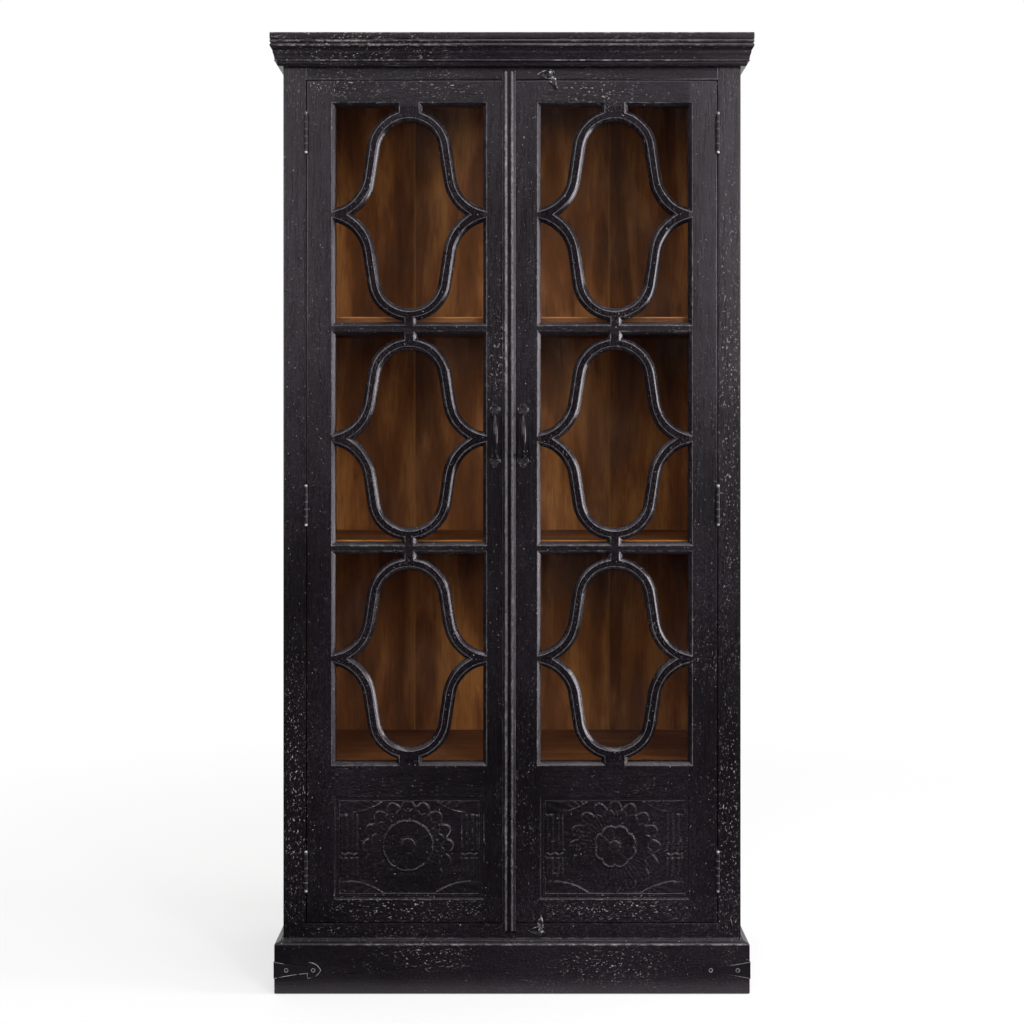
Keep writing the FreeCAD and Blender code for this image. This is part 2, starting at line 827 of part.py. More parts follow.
def handle(side, offset):
    """A bow handle cast in one with its two lobed plates."""
    x = side * offset
    plate_y = front - plate_thick
    pieces = []
    half_grip = plate_spacing / 2 - lobe_radius - grip_end_radius
    for end in (-1, 1):
        z = handle_height + end * plate_spacing / 2
        for dx, dz in ((-lobe_offset, 0), (lobe_offset, 0), (0, end * lobe_outer_offset)):
            pieces.append(cylinder_y(x + dx, plate_y, front, z + dz, lobe_radius))
        root_z = handle_height + end * (half_grip - plate_root)
        pieces.append(box(
            x - lobe_radius, x + lobe_radius, plate_y, front, min(z, root_z), max(z, root_z)
        ))
    leg_end = grip_stand - grip_bend
    path = Part.Wire([
        line(V(x, front - plate_thick / 2, handle_height - half_grip),
             V(x, front - leg_end, handle_height - half_grip)),
        bend(x, -1, half_grip),
        line(V(x, front - grip_stand, handle_height - half_grip + grip_bend),
             V(x, front - grip_stand, handle_height + half_grip - grip_bend)),
        bend(x, 1, half_grip),
        line(V(x, front - leg_end, handle_height + half_grip),
             V(x, front - plate_thick / 2, handle_height + half_grip)),
    ])
    section = Part.Wire(Part.makeCircle(
        grip_end_radius, V(x, front - plate_thick / 2, handle_height - half_grip), V(0, -1, 0)
    ))
    pieces.append(path.makePipeShell([section], True, True))
    pieces.append(grip_swell(x, half_grip - grip_bend))
    return fused(pieces)


def bend(x, end, half_grip):
    """A quarter turn of the bow between a leg and the grip."""
    centre = V(x, front - grip_stand + grip_bend, handle_height + end * (half_grip - grip_bend))
    leg = centre + V(0, 0, end * grip_bend)
    grip = centre + V(0, -grip_bend, 0)
    middle = centre + V(0, -1, end).normalize() * grip_bend
    return arc(leg, middle, grip) if end < 0 else arc(grip, middle, leg)


def grip_swell(x, half_length):
    """The spindle-shaped thickening in the middle of the bow."""
    start = V(grip_end_radius, 0, -half_length)
    crest = V(grip_middle_radius, 0, 0)
    end = V(grip_end_radius, 0, half_length)
    outline = Part.Wire([
        arc(start, crest, end), line(end, V(0, 0, half_length)),
        line(V(0, 0, half_length), V(0, 0, -half_length)), line(V(0, 0, -half_length), start),
    ])
    swell = Part.Face(outline).revolve(V(0, 0, 0), V(0, 0, 1), 360)
    swell.translate(V(x, front - grip_stand, handle_height))
    return swell


def handle_screws(side, offset):
    x = side * offset
    heads = []
    for end in (-1, 1):
        z = handle_height + end * plate_spacing / 2
        for dx in (-lobe_offset, lobe_offset):
            heads.append(Part.makeCone(
                screw_head_radius, screw_top_radius, screw_head_rise,
                V(x + dx, front - plate_thick, z), V(0, -1, 0),
            ))
    return group(heads)


# Turn latches

def latch_plate(x, z):
    """A leaf-shaped plate on the rail, pointing left from its round end at the pivot."""
    tip = V(x - latch_plate_length, 0, z)
    upper, lower = V(x, 0, z + latch_plate_half), V(x, 0, z - latch_plate_half)
    outline = Part.Wire([
        arc(tip, V(x - latch_plate_length / 2, 0, z + latch_plate_sag), upper),
        arc(upper, V(x + latch_plate_half, 0, z), lower),
        arc(lower, V(x - latch_plate_length / 2, 0, z - latch_plate_sag), tip),
    ])
    plate = slab(outline, 0, latch_plate_thick)
    plate.translate(V(0, latch_plate_y, 0))
    return plate


def turn_button(x, z, angle):
    """A spade on a neck, with a round boss on the pivot; angle turns it from pointing up, clockwise from the
    front."""
    y0 = latch_plate_y - latch_gap - button_thick
    boss = cylinder_y(x, y0, y0 + button_thick, z, button_boss)
    half_outline = (
        (button_neck_half, 0), (button_neck_half, button_barb_at),
        (button_head_half, button_barb_at - button_barb_drop), (button_tip_half, button_length),
    )
    outline = [V(x + half, y0, z + up) for half, up in half_outline]
    outline += [V(x - half, y0, z + up) for half, up in reversed(half_outline)]
    spike = slab(polygon(outline), y0, y0 + button_thick)
    hole = cylinder_y(x, y0, y0 + button_thick, z, pivot_radius + pivot_clear)
    button = fused([boss, spike]).cut(hole)
    button.rotate(V(x, 0, z), V(0, 1, 0), math.degrees(angle))
    return button


def pivot_screw(x, z):
    """The screw that the button turns on, with its round head in front."""
    head_y = latch_plate_y - 2 * latch_gap - button_thick
    shank = cylinder_y(x, head_y, latch_plate_y, z, pivot_radius)
    head = Part.makeCone(
        pivot_head_radius, pivot_top_radius, pivot_head_rise, V(x, head_y, z), V(0, -1, 0)
    )
    return fused([shank, head])


def latches():
    plates, screws = [], []
    angles = {"top": math.pi - button_lean, "bottom": 0.0}
    for name, (x, z) in latch_places.items():
        plates.append(latch_plate(x, z))
        screws.append(pivot_screw(x, z))
        parts[f"latch_button_{name}"] = turn_button(x, z, angles[name])
    parts["latch_plates"] = group(plates)
    parts["latch_screws"] = group(screws)


# Whole doors

def door(name, side):
    parts[f"{name}_hinge_stile"] = door_stile_piece(side, "hinge")
    parts[f"{name}_meeting_stile"] = door_stile_piece(side, "meeting")
    parts[f"{name}_top_rail"] = door_rail_piece(side, sight_top, door_top, True, False)
    parts[f"{name}_lock_rail"] = door_rail_piece(side, panel_top, sight_bottom, True, True)
    parts[f"{name}_bottom_rail"] = door_rail_piece(side, door_bottom, panel_bottom, False, True)
    for row, (low, high) in row_spans.items():
        parts[f"{name}_fret_{row}"] = fret(side, low, high)
    parts[f"{name}_glazing_bars"] = group([glazing_bar(side, low) for low in bar_bottoms])
    glass_lap = rebate_width - glass_fit
    parts[f"{name}_glass"] = box(
        side * (sight_in - glass_lap), side * (sight_out + glass_lap), rebate_y, rebate_y + glass_thick,
        sight_bottom - glass_lap, sight_top + glass_lap,
    )
    parts[f"{name}_glass_beads"] = glass_beads(side)
    parts[f"{name}_carved_panel"] = carved_panel(side)
    parts[f"{name}_hinge_leaves"] = group([on_side(hinge_leaf_piece(z, True), side) for z in hinge_middles])
    parts[f"{name}_handle"] = handle(side, handle_offsets[name])
    parts[f"{name}_handle_screws"] = handle_screws(side, handle_offsets[name])


def hinges_on_frame():
    leaves, pins = [], []
    for side in SIDES.values():
        for middle in hinge_middles:
            leaves.append(on_side(hinge_leaf_piece(middle, False), side))
            pins.append(on_side(hinge_pin(middle), side))
    parts["frame_hinge_leaves"] = group(leaves)
    parts["hinge_pins"] = group(pins)


carcass()
cornice()
plinth()
corner_straps()
hinges_on_frame()
latches()
for name, side in SIDES.items():
    door(name, side)
parts["right_astragal"] = astragal()

os.makedirs("parts", exist_ok=True)
for name, shape in parts.items():
    if not shape.isValid():
        print("not valid:", name)
    shape.exportStep(f"parts/{name}.step")
print(len(parts), "nodes")
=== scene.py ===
import math

import bmesh
import bpy
import numpy as np
from mathutils import Matrix, Vector, noise
from mathutils.geometry import tessellate_polygon

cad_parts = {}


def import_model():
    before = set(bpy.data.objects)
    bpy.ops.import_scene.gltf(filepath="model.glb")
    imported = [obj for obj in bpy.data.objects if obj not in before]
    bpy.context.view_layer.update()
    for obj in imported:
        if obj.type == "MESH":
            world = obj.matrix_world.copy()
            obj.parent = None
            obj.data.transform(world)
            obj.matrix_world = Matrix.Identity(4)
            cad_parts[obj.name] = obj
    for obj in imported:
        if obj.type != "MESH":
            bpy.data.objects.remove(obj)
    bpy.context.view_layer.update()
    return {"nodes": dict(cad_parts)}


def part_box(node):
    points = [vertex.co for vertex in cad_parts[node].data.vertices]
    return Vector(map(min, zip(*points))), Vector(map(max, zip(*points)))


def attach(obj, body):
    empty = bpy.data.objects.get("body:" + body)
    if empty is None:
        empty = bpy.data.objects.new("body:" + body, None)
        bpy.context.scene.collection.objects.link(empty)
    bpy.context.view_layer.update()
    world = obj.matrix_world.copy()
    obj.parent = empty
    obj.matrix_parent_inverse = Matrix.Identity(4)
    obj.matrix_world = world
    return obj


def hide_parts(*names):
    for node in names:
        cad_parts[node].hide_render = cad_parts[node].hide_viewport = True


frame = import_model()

MM = 0.001
SIDES = {"left": -1, "right": 1}

# Planes and edges read from the frame
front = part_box("right_hinge_stile")[0].y
glass_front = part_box("right_glass")[0].y
door_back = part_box("right_hinge_stile")[1].y
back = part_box("back_planks")[1].y
body_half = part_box("side_panel_right")[1].x
plinth_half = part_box("plinth_front")[1].x
plinth_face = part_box("plinth_front")[0].y
door_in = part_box("right_meeting_stile")[0].x
door_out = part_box("right_hinge_stile")[1].x
door_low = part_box("right_hinge_stile")[0].z
door_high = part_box("right_hinge_stile")[1].z
sight_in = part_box("right_meeting_stile")[1].x
sight_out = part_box("right_hinge_stile")[0].x
sight_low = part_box("right_fret_lower")[0].z
sight_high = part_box("right_fret_upper")[1].z
panel_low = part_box("right_bottom_rail")[1].z
panel_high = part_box("right_lock_rail")[0].z
sight_mid = (sight_in + sight_out) / 2
sight_half = (sight_out - sight_in) / 2
ROWS = ("lower", "middle", "upper")
row_spans = {row: (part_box(f"right_fret_{row}")[0].z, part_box(f"right_fret_{row}")[1].z) for row in ROWS}

# Lattice
web_top = 32 * MM
web_bottom = 30 * MM
web_half_on_rail = 28 * MM
web_half_on_bar = 16 * MM
lantern_radius = 62 * MM
lantern_lean = math.radians(8.5)
lantern_flare = 74 * MM
cusp_inset = 37 * MM
arm_width = 27 * MM
stem_half = 15 * MM
rebate_width = 8 * MM
arc_step = math.radians(4)
wander = 0.9 * MM
wander_per_metre = 28
wander_starts = (4 * MM, 14 * MM)

# Colours, as linear values
PAINT_DARK = (0.0045, 0.0032, 0.0050, 1)
PAINT_LIGHT = (0.0115, 0.0088, 0.0125, 1)
PAINT_DUSTY = (0.082, 0.070, 0.083, 1)
# Painted sheen: the lighter colour of the line along worn arrises, which stands in for a glossy highlight
PAINT_SHEEN = (0.27, 0.245, 0.26, 1)
PAINT_WORN = (0.50, 0.465, 0.455, 1)
WOOD_DEEP = (0.085, 0.027, 0.009, 1)
WOOD_BROWN = (0.35, 0.118, 0.030, 1)
WOOD_LIGHT = (0.68, 0.285, 0.078, 1)
IRON_DARK = (0.012, 0.0105, 0.0125, 1)
# Bare rubbed iron, also used as a painted glint on hinge balls, knuckle ends and latch domes
IRON_RUBBED_AND_GLINT = (0.60, 0.59, 0.59, 1)
FELT = (0.030, 0.026, 0.033, 1)

# Places where the black paint is most worn: x, z, half width and half height, all of one depth
WORN_DEPTH = 0.125
WORN_PLACES = {
    "cornice_left": (-0.33, 1.972, 0.24, 0.05),
    "left_door_top": (-0.37, 1.895, 0.10, 0.03),
    "left_rail_top": (-0.15, 1.898, 0.09, 0.03),
    "right_rail_top": (0.17, 1.885, 0.09, 0.04),
    "meeting_stile": (-0.03, 1.34, 0.03, 0.10),
    "left_stile_foot": (-0.455, 0.43, 0.03, 0.30),
    "right_stile": (0.455, 1.25, 0.03, 0.45),
    "right_stile_foot": (0.455, 0.35, 0.03, 0.28),
    "left_bottom_rail": (-0.22, 0.172, 0.17, 0.03),
    "right_bottom_rail": (0.22, 0.172, 0.14, 0.03),
    "plinth_left": (-0.17, 0.08, 0.10, 0.03),
    "plinth_right": (0.21, 0.062, 0.13, 0.04),
}


# Materials

class Shader:
    """A material with one Principled shader, and short calls for the nodes that feed it."""

    def __init__(self, name):
        self.material = bpy.data.materials.new(name)
        self.material.use_nodes = True
        self.tree = self.material.node_tree
        self.principled = self.tree.nodes["Principled BSDF"]
        self.position = self.node("ShaderNodeTexCoord").outputs["Object"]

    def node(self, kind, **settings):
        made = self.tree.nodes.new(kind)
        for key, value in settings.items():
            setattr(made, key, value)
        return made

    def join(self, source, target):
        if isinstance(source, (int, float, tuple)):
            target.default_value = source
        else:
            self.tree.links.new(source, target)

    def math(self, operation, a, b=0.0, clamp=False):
        made = self.node("ShaderNodeMath", operation=operation, use_clamp=clamp)
        self.join(a, made.inputs[0])
        self.join(b, made.inputs[1])
        return made.outputs[0]

    def plus(self, a, b, clamp=False):
        return self.math("ADD", a, b, clamp)

    def times(self, a, b):
        return self.math("MULTIPLY", a, b)

    def most(self, a, b, clamp=False):
        return self.math("MAXIMUM", a, b, clamp)

    def stretched(self, scale, shift=(0, 0, 0)):
        made = self.node("ShaderNodeMapping")
        self.join(self.position, made.inputs["Vector"])
        made.inputs["Scale"].default_value = scale
        made.inputs["Location"].default_value = shift
        return made.outputs[0]

    def noise(self, vector, scale, detail=4.0, rough=0.55, distort=0.0):
        made = self.node("ShaderNodeTexNoise")
        self.join(vector, made.inputs["Vector"])
        made.inputs["Scale"].default_value = scale
        made.inputs["Detail"].default_value = detail
        made.inputs["Roughness"].default_value = rough
        made.inputs["Distortion"].default_value = distort
        return made.outputs["Fac"]

    def vector_math(self, operation, a, b=(0, 0, 0), output="Vector"):
        made = self.node("ShaderNodeVectorMath", operation=operation)
        self.join(a, made.inputs[0])
        self.join(b, made.inputs[1])
        return made.outputs[output]

    def spread(self, value, low, high, to_low=0.0, to_high=1.0):
        """Maps low..high to to_low..to_high and cuts off what is outside."""
        made = self.node("ShaderNodeMapRange", clamp=True)
        self.join(value, made.inputs["Value"])
        for key, number in (("From Min", low), ("From Max", high), ("To Min", to_low), ("To Max", to_high)):
            made.inputs[key].default_value = number
        return made.outputs[0]

    def mix(self, factor, a, b):
        made = self.node("ShaderNodeMix", data_type="RGBA")
        self.join(factor, made.inputs["Factor"])
        self.join(a, made.inputs[6])
        self.join(b, made.inputs[7])
        return made.outputs[2]

    def shifted_by(self, name, shift):
        """Moves the texture space by a shift times a vertex attribute."""
        made = self.node("ShaderNodeVectorMath", operation="MULTIPLY_ADD")
        self.join(self.node("ShaderNodeAttribute", attribute_name=name).outputs["Vector"], made.inputs[0])
        made.inputs[1].default_value = shift
        self.join(self.position, made.inputs[2])
        self.position = made.outputs[0]

    def attribute(self, name):
        return self.node("ShaderNodeAttribute", attribute_name=name).outputs["Fac"]

    def bump(self, height, distance, strength=1.0):
        made = self.node("ShaderNodeBump")
        made.inputs["Strength"].default_value = strength
        made.inputs["Distance"].default_value = distance
        self.join(height, made.inputs["Height"])
        self.join(made.outputs[0], self.principled.inputs["Normal"])

    def set(self, **values):
        for key, value in values.items():
            self.join(value, self.principled.inputs[key.replace("_", " ")])
        return self.material


GRAIN = {"x": (0.05, 1.0, 1.0), "y": (1.0, 0.05, 1.0), "z": (1.0, 1.0, 0.05)}
BRUSH_TURN = {"x": 0.25, "y": 0.0, "z": 0.0}


def worn_places(s):
    """Rises to one inside the worn places of the front."""
    most = 0.0
    for x, z, half_width, half_height in WORN_PLACES.values():
        away = s.vector_math("SUBTRACT", s.position, (x, front, z))
        scaled = s.vector_math("MULTIPLY", away, (1 / half_width, 1 / WORN_DEPTH, 1 / half_height))
        length = s.vector_math("LENGTH", scaled, output="Value")
        most = s.most(most, s.spread(length, 0.35, 1.25, 1.0, 0.0))
    return most


def black_paint(name, along, smoothest, roughest, brushed, uneven, sheen_line):
    """Black paint on open-grained wood, worn to pale wood along edges and in scattered specks; its most worn
    arrises also carry a painted sheen line, a lighter colour that stands in for a glossy highlight.
    """
    s = Shader(name)
    wear = s.attribute("wear")
    stretch = GRAIN[along]
    short = tuple(v ** 0.22 for v in stretch)
    grain = s.noise(s.stretched(stretch), 260, 6, 0.65)
    speckle = s.noise(s.stretched(short, (1.1, 5.0, 2.0)), 430, 3, 0.6)
    broad = s.noise(s.position, 2.6, 5, 0.6)
    waves = s.noise(s.position, 22, 2, 0.4)
    places = worn_places(s)
    patches = s.spread(s.noise(s.stretched(short, (0.7, 0.2, 5.3)), 8, 5, 0.62), 0.52, 0.76, 0.0, 0.7)
    patches = s.most(patches, places)
    specks = s.spread(s.noise(s.stretched(short, (8.1, 2.2, 6.0)), 360, 2, 0.5), 0.64, 0.70)
    stray = s.spread(s.noise(s.position, 300, 1, 0.4), 0.765, 0.79)
    scattered = s.most(s.times(specks, patches), stray)
    edge_break = s.spread(s.noise(s.stretched(short, (2.0, 9.0, 1.0)), 110, 5, 0.75), 0.48, 0.62)
    edge_reach = s.spread(s.noise(s.position, 6, 3, 0.5), 0.42, 0.70, 0.08, 0.8)
    edge_reach = s.most(edge_reach, places)
    rubbed = s.times(s.spread(wear, 0.45, 0.95), s.times(edge_break, edge_reach))
    worn = s.most(s.times(scattered, 0.85), rubbed, clamp=True)
    base = s.mix(s.spread(broad, 0.35, 0.7), PAINT_DARK, PAINT_LIGHT)
    base = s.mix(s.spread(grain, 0.45, 0.75, 0.0, 0.3), base, PAINT_LIGHT)
    dust = s.spread(speckle, 0.50, 0.74, 0.0, 0.6)
    dust = s.times(dust, s.spread(broad, 0.36, 0.60, 0.20, 1.0))
    # Painted highlight: a sheen line along the most worn arrises, broken by the speckle
    arris_sheen = s.spread(speckle, 0.35, 0.6, 0.25 * sheen_line, sheen_line)
    arris_sheen = s.times(s.spread(wear, 0.65, 1.0), arris_sheen)
    colour = s.mix(arris_sheen, s.mix(dust, base, PAINT_DUSTY), PAINT_SHEEN)
    colour = s.mix(worn, colour, PAINT_WORN)
    rough = s.spread(grain, 0.3, 0.7, smoothest, roughest)
    rough = s.plus(rough, s.times(worn, 0.3), clamp=True)
    height = s.times(grain, 0.55)
    for part, share in ((speckle, 0.40), (waves, 1.6), (worn, -0.4)):
        height = s.plus(height, s.times(part, share))
    s.bump(height, uneven)
    around = s.node("ShaderNodeTangent", direction_type="RADIAL", axis="Z")
    s.join(around.outputs[0], s.principled.inputs["Tangent"])
    return s.set(
        Base_Color=colour, Roughness=rough, Specular_IOR_Level=0.45, Specular_Tint=(1.0, 0.92, 1.0, 1),
        Anisotropic=brushed, Anisotropic_Rotation=BRUSH_TURN[along],
    )


def stained_wood(along, strength):
    """Brown-stained mango wood with dark figure and streaks along the grain; strength lightens it. Its eased
    edges get a painted highlight.
    """
    s = Shader(f"stained_wood_{along}")
    s.shifted_by("plank", (0.37, 0.21, 1.3))
    stretch = GRAIN[along]
    wide = tuple(v ** 0.6 for v in stretch)
    figure = s.noise(s.stretched(wide), 13, 6, 0.55, 0.7)
    cloud = s.noise(s.stretched(tuple(v ** 0.4 for v in stretch), (4, 4, 1)), 10, 5, 0.6, 0.3)
    fine = s.noise(s.stretched(stretch), 300, 5, 0.6)
    tone = s.plus(s.times(figure, 0.5), s.times(cloud, 0.5))
    colour = s.mix(s.spread(tone, 0.33, 0.55, 0.15, strength), WOOD_DEEP, WOOD_BROWN)
    colour = s.mix(s.spread(tone, 0.48, 0.68, 0.0, strength ** 2), colour, WOOD_LIGHT)
    streaks = s.noise(s.stretched(wide, (3, 3, 2)), 70, 4, 0.6)
    colour = s.mix(s.spread(streaks, 0.50, 0.72, 0.0, 0.4), colour, WOOD_DEEP)
    colour = s.mix(s.spread(fine, 0.50, 0.75, 0.0, 0.45), colour, WOOD_DEEP)
    # Painted highlight: edges with a high wear value are lightened towards the light wood colour, as if
    # lamplight caught them
    colour = s.mix(s.spread(s.attribute("wear"), 0.3, 1.0, 0.0, 0.55), colour, WOOD_LIGHT)
    s.bump(fine, 0.25 * MM, 0.6)
    return s.set(Base_Color=colour, Roughness=s.spread(fine, 0.3, 0.7, 0.42, 0.6), Specular_IOR_Level=0.12)


def worn_iron(name, cast_scale, break_scale, coverage, smoothest, roughest):
    """Iron under black paint, rubbed to bare metal on its high spots; coverage is the share rubbed there.
    Where a part's wear value is set high for it, the same pale colour is a painted glint.
    """
    s = Shader(name)
    cast = s.noise(s.position, cast_scale, 4, 0.6)
    cast_depth = 0.4 * MM
    middle = 0.62 - 0.24 * coverage
    breaks = s.spread(s.noise(s.position, break_scale, 4, 0.65), middle - 0.05, middle + 0.05)
    # Rubbed metal, and a painted glint where a part's wear value is set high for one
    rubbed = s.times(s.spread(s.attribute("wear"), 0.5, 0.95), breaks)
    s.bump(cast, cast_depth * roughest)
    return s.set(
        Base_Color=s.mix(rubbed, IRON_DARK, IRON_RUBBED_AND_GLINT), Metallic=s.times(rubbed, 0.7),
        Roughness=s.spread(cast, 0.3, 0.7, smoothest, roughest), Specular_IOR_Level=0.4,
        Specular_Tint=(1.0, 0.92, 1.0, 1),
    )


def pane_glass():
    """Clear glass with a film of dust in patches, which lets lamplight through."""
    s = Shader("pane_glass")
    smears = s.spread(s.noise(s.position, 5, 3, 0.5), 0.35, 0.7)
    film = s.spread(s.noise(s.stretched((1, 1, 0.6)), 9, 4, 0.6), 0.46, 0.72, 0.9998, 0.995)
    tint = s.mix(smears, (0.97, 0.975, 0.97, 1), (0.93, 0.94, 0.93, 1))
    s.set(Base_Color=tint, Roughness=0.0, Transmission_Weight=film, IOR=1.45)
    clear = s.node("ShaderNodeBsdfTransparent")
    clear.inputs["Color"].default_value = (0.93, 0.95, 0.94, 1)
    blend = s.node("ShaderNodeMixShader")
    s.join(s.node("ShaderNodeLightPath").outputs["Is Shadow Ray"], blend.inputs[0])
    s.join(s.principled.outputs[0], blend.inputs[1])
    s.join(clear.outputs[0], blend.inputs[2])
    s.join(blend.outputs[0], s.tree.nodes["Material Output"].inputs["Surface"])
    return s.material


# The paints by grain direction; the last number of each sets the strength of the painted sheen line
PAINT = {
    along: black_paint(
        f"black_paint_{along}", along, smoothest=0.23, roughest=0.36, brushed=brushed, uneven=0.45 * MM,
        sheen_line=sheen_line,
    )
    for along, brushed, sheen_line in (("x", 0.6, 0.16), ("y", 0.6, 0.16), ("z", 0.3, 0.8))
}
# The lattice paint has the strongest painted sheen line
LATTICE_PAINT = black_paint(
    "lattice_paint", "z", smoothest=0.15, roughest=0.24, brushed=0.0, uneven=0.22 * MM, sheen_line=1.0,
)
WOOD = {along: stained_wood(along, strength) for along, strength in (("x", 0.45), ("y", 0.65), ("z", 1.0))}
IRON = worn_iron("iron", 420, 150, coverage=0.3, smoothest=0.42, roughest=0.58)
GRIP_IRON = worn_iron("grip_iron", 160, 90, coverage=0.3, smoothest=0.13, roughest=0.18)
HINGE_IRON = worn_iron("hinge_iron", 300, 90, coverage=0.8, smoothest=0.45, roughest=0.6)
STRAP_IRON = worn_iron("strap_iron", 260, 60, coverage=0.9, smoothest=0.25, roughest=0.4)
GLASS = pane_glass()


# Mesh helpers

def new_bmesh():
    bm = bmesh.new()
    # The wear value marks worn paint and rubbed iron, and also where sheen lines, edge highlights and glints
    # are painted
    bm.verts.layers.float.new("wear")
    return bm


def wear_layer(bm):
    return bm.verts.layers.float["wear"]


def place(name, node, bm, materials, body="carcass", sharp=32):
    """Makes the object that dresses a node from a finished mesh."""
    mesh = bpy.data.meshes.new(name)
    bm.to_mesh(mesh)
    bm.free()
    for material in materials:
        mesh.materials.append(material)
    mesh.shade_smooth()
    mesh.set_sharp_from_angle(angle=math.radians(sharp))
    piece = bpy.data.objects.new(name, mesh)
    bpy.context.scene.collection.objects.link(piece)
    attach(piece, body)
    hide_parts(node)


def place_wood(node, bm, material, body="carcass", sharp=32):
    place(f"{node}_wood", node, bm, [material], body, sharp)


def place_iron(node, bm, materials, body="carcass"):
    place(f"{node}_iron", node, bm, materials, body, 40)


def turn_steps(steps, whole=math.pi):
    """The cosine and sine of evenly spaced angles from nought to a half turn, or to another angle."""
    return [(math.cos(whole * i / steps), math.sin(whole * i / steps)) for i in range(steps + 1)]


def circle(segments):
    return turn_steps(segments, 2 * math.pi)[:-1]


def sized(points):
    """A profile that is written in mm, with its wear left as it is."""
    return [(across * MM, along * MM, worn) for across, along, worn in points]


def add_row(bm, points):
    """A row of vertices from pairs of a place and its wear."""
    wear = wear_layer(bm)
    row = []
    for at, worn in points:
        vert = bm.verts.new(at)
        vert[wear] = worn
        row.append(vert)
    return row


def join_rings(bm, rings):
    """Faces from each ring to the next, all the way round."""
    for a, b in zip(rings, rings[1:]):
        for i in range(len(a)):
            j = (i + 1) % len(a)
            bm.faces.new((a[i], a[j], b[j], b[i]))


def close_rings(bm, rings):
    """Joins rings of equal count one to the next and closes both ends."""
    join_rings(bm, rings)
    bm.faces.new(rings[0])
    bm.faces.new(list(reversed(rings[-1])))
    bmesh.ops.recalc_face_normals(bm, faces=bm.faces)


def add_board(bm, low, high, edge=1.2 * MM, ring=3.5 * MM, worn=1.0):
    """A board with eased edges; wear is worn along the edges and none on the faces."""
    wear = wear_layer(bm)
    low, high = Vector(low), Vector(high)
    made = bmesh.ops.create_cube(bm, size=1.0)["verts"]
    for v in made:
        v.co = Vector((low[i] + (high[i] - low[i]) * (v.co[i] + 0.5) for i in range(3)))
    edges = list(dict.fromkeys(e for v in made for e in v.link_edges))
    eased = bmesh.ops.bevel(
        bm, geom=edges, offset=edge, offset_type="OFFSET", segments=2, profile=0.5, affect="EDGES"
    )
    verts = eased["verts"]
    for v in verts:
        v[wear] = worn
    faces = dict.fromkeys(f for v in verts for f in v.link_faces)
    flats = sorted(faces, key=lambda f: -f.calc_area())[:6]
    limit = min(high[i] - low[i] for i in range(3)) / 2 - edge
    bmesh.ops.inset_individual(bm, faces=flats, thickness=min(ring, limit * 0.8))
    for f in flats:
        for v in f.verts:
            v[wear] = 0.0


def board(node, material, worn=1.0, edge=1.2 * MM):
    """An eased board in a node's box."""
    bm = new_bmesh()
    add_board(bm, *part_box(node), edge, worn=worn)
    place_wood(node, bm, material)


def side_panel(side_name):
    """A side panel, painted outside and stained inside."""
    node = f"side_panel_{side_name}"
    inwards = Vector((-SIDES[side_name], 0, 0))
    bm = new_bmesh()
    add_board(bm, *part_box(node))
    bm.normal_update()
    for face in bm.faces:
        if face.normal.dot(inwards) > 0.5:
            face.material_index = 1
    place(f"{node}_wood", node, bm, [PAINT["z"], WOOD["z"]])


def door_glass(side_name):
    """The glass of a door."""
    node = f"{side_name}_glass"
    bm = new_bmesh()
    add_board(bm, *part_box(node))
    place(f"{side_name}_pane", node, bm, [GLASS], f"door_{side_name}")


def extruded_run(node, section, start, end, material):
    """A moulding between two ends. section is a closed list of (out, height, wear); start and end turn
    a point of it into a place."""
    bm = new_bmesh()
    rings = []
    for at in (start, end):
        rings.append(add_row(bm, [(at(out, height), worn) for out, height, worn in section]))
    close_rings(bm, rings)
    place_wood(node, bm, material)


# Lattice outlines, in the XZ plane round a cell's middle

def arc_points(centre, radius, start, end):
    """Points on an arc from start to end angle, both ends included."""
    count = max(2, math.ceil(abs(end - start) / arc_step))
    return [
        centre + radius * np.array((math.cos(a), math.sin(a)))
        for a in np.linspace(start, end, count + 1)
    ]


def tangent_arc(start, heading, end):
    """Points on the arc that leaves start along heading and reaches end."""
    left = np.array((-heading[1], heading[0]))
    chord = end - start
    radius = chord @ chord / (2 * (chord @ left))
    centre = start + left * radius
    a0 = math.atan2(*(start - centre)[::-1])
    a1 = math.atan2(*(end - centre)[::-1])
    turn = (a1 - a0 + math.pi) % (2 * math.pi) - math.pi
    return arc_points(centre, abs(radius), a0, a0 + turn)


def lantern_side(half_height, web_half):
    """The lantern's outline right of and above its middle, and the outer side of the arm beside it."""
    sine, cosine = math.sin(lantern_lean), math.cos(lantern_lean)
    centre = np.array((0.0, half_height - lantern_radius))
    outward = np.array((cosine, sine))
    heading = np.array((sine, -cosine))
    inner = arc_points(centre, lantern_radius, math.pi / 2, lantern_lean)
    flare = inner[-1] + heading * ((inner[-1][1] - lantern_flare) / cosine)
    inner += tangent_arc(flare, heading, np.array((sight_half - cusp_inset, 0.0)))
    reach = lantern_radius + arm_width
    outer = arc_points(centre, reach, math.acos(web_half / reach), lantern_lean)
    outer += tangent_arc(flare + outward * arm_width, heading, np.array((sight_half, stem_half)))
    return inner, outer


def without_repeats(points):
    """Leaves out every point of a closed outline that lies on the one before it."""
    closest = 0.05 * MM
    kept = []
    for p in points:
        if not kept or np.hypot(*(p - kept[-1])) > closest:
            kept.append(p)
    if np.hypot(*(kept[0] - kept[-1])) < closest:
        kept.pop()
    return np.array(kept)


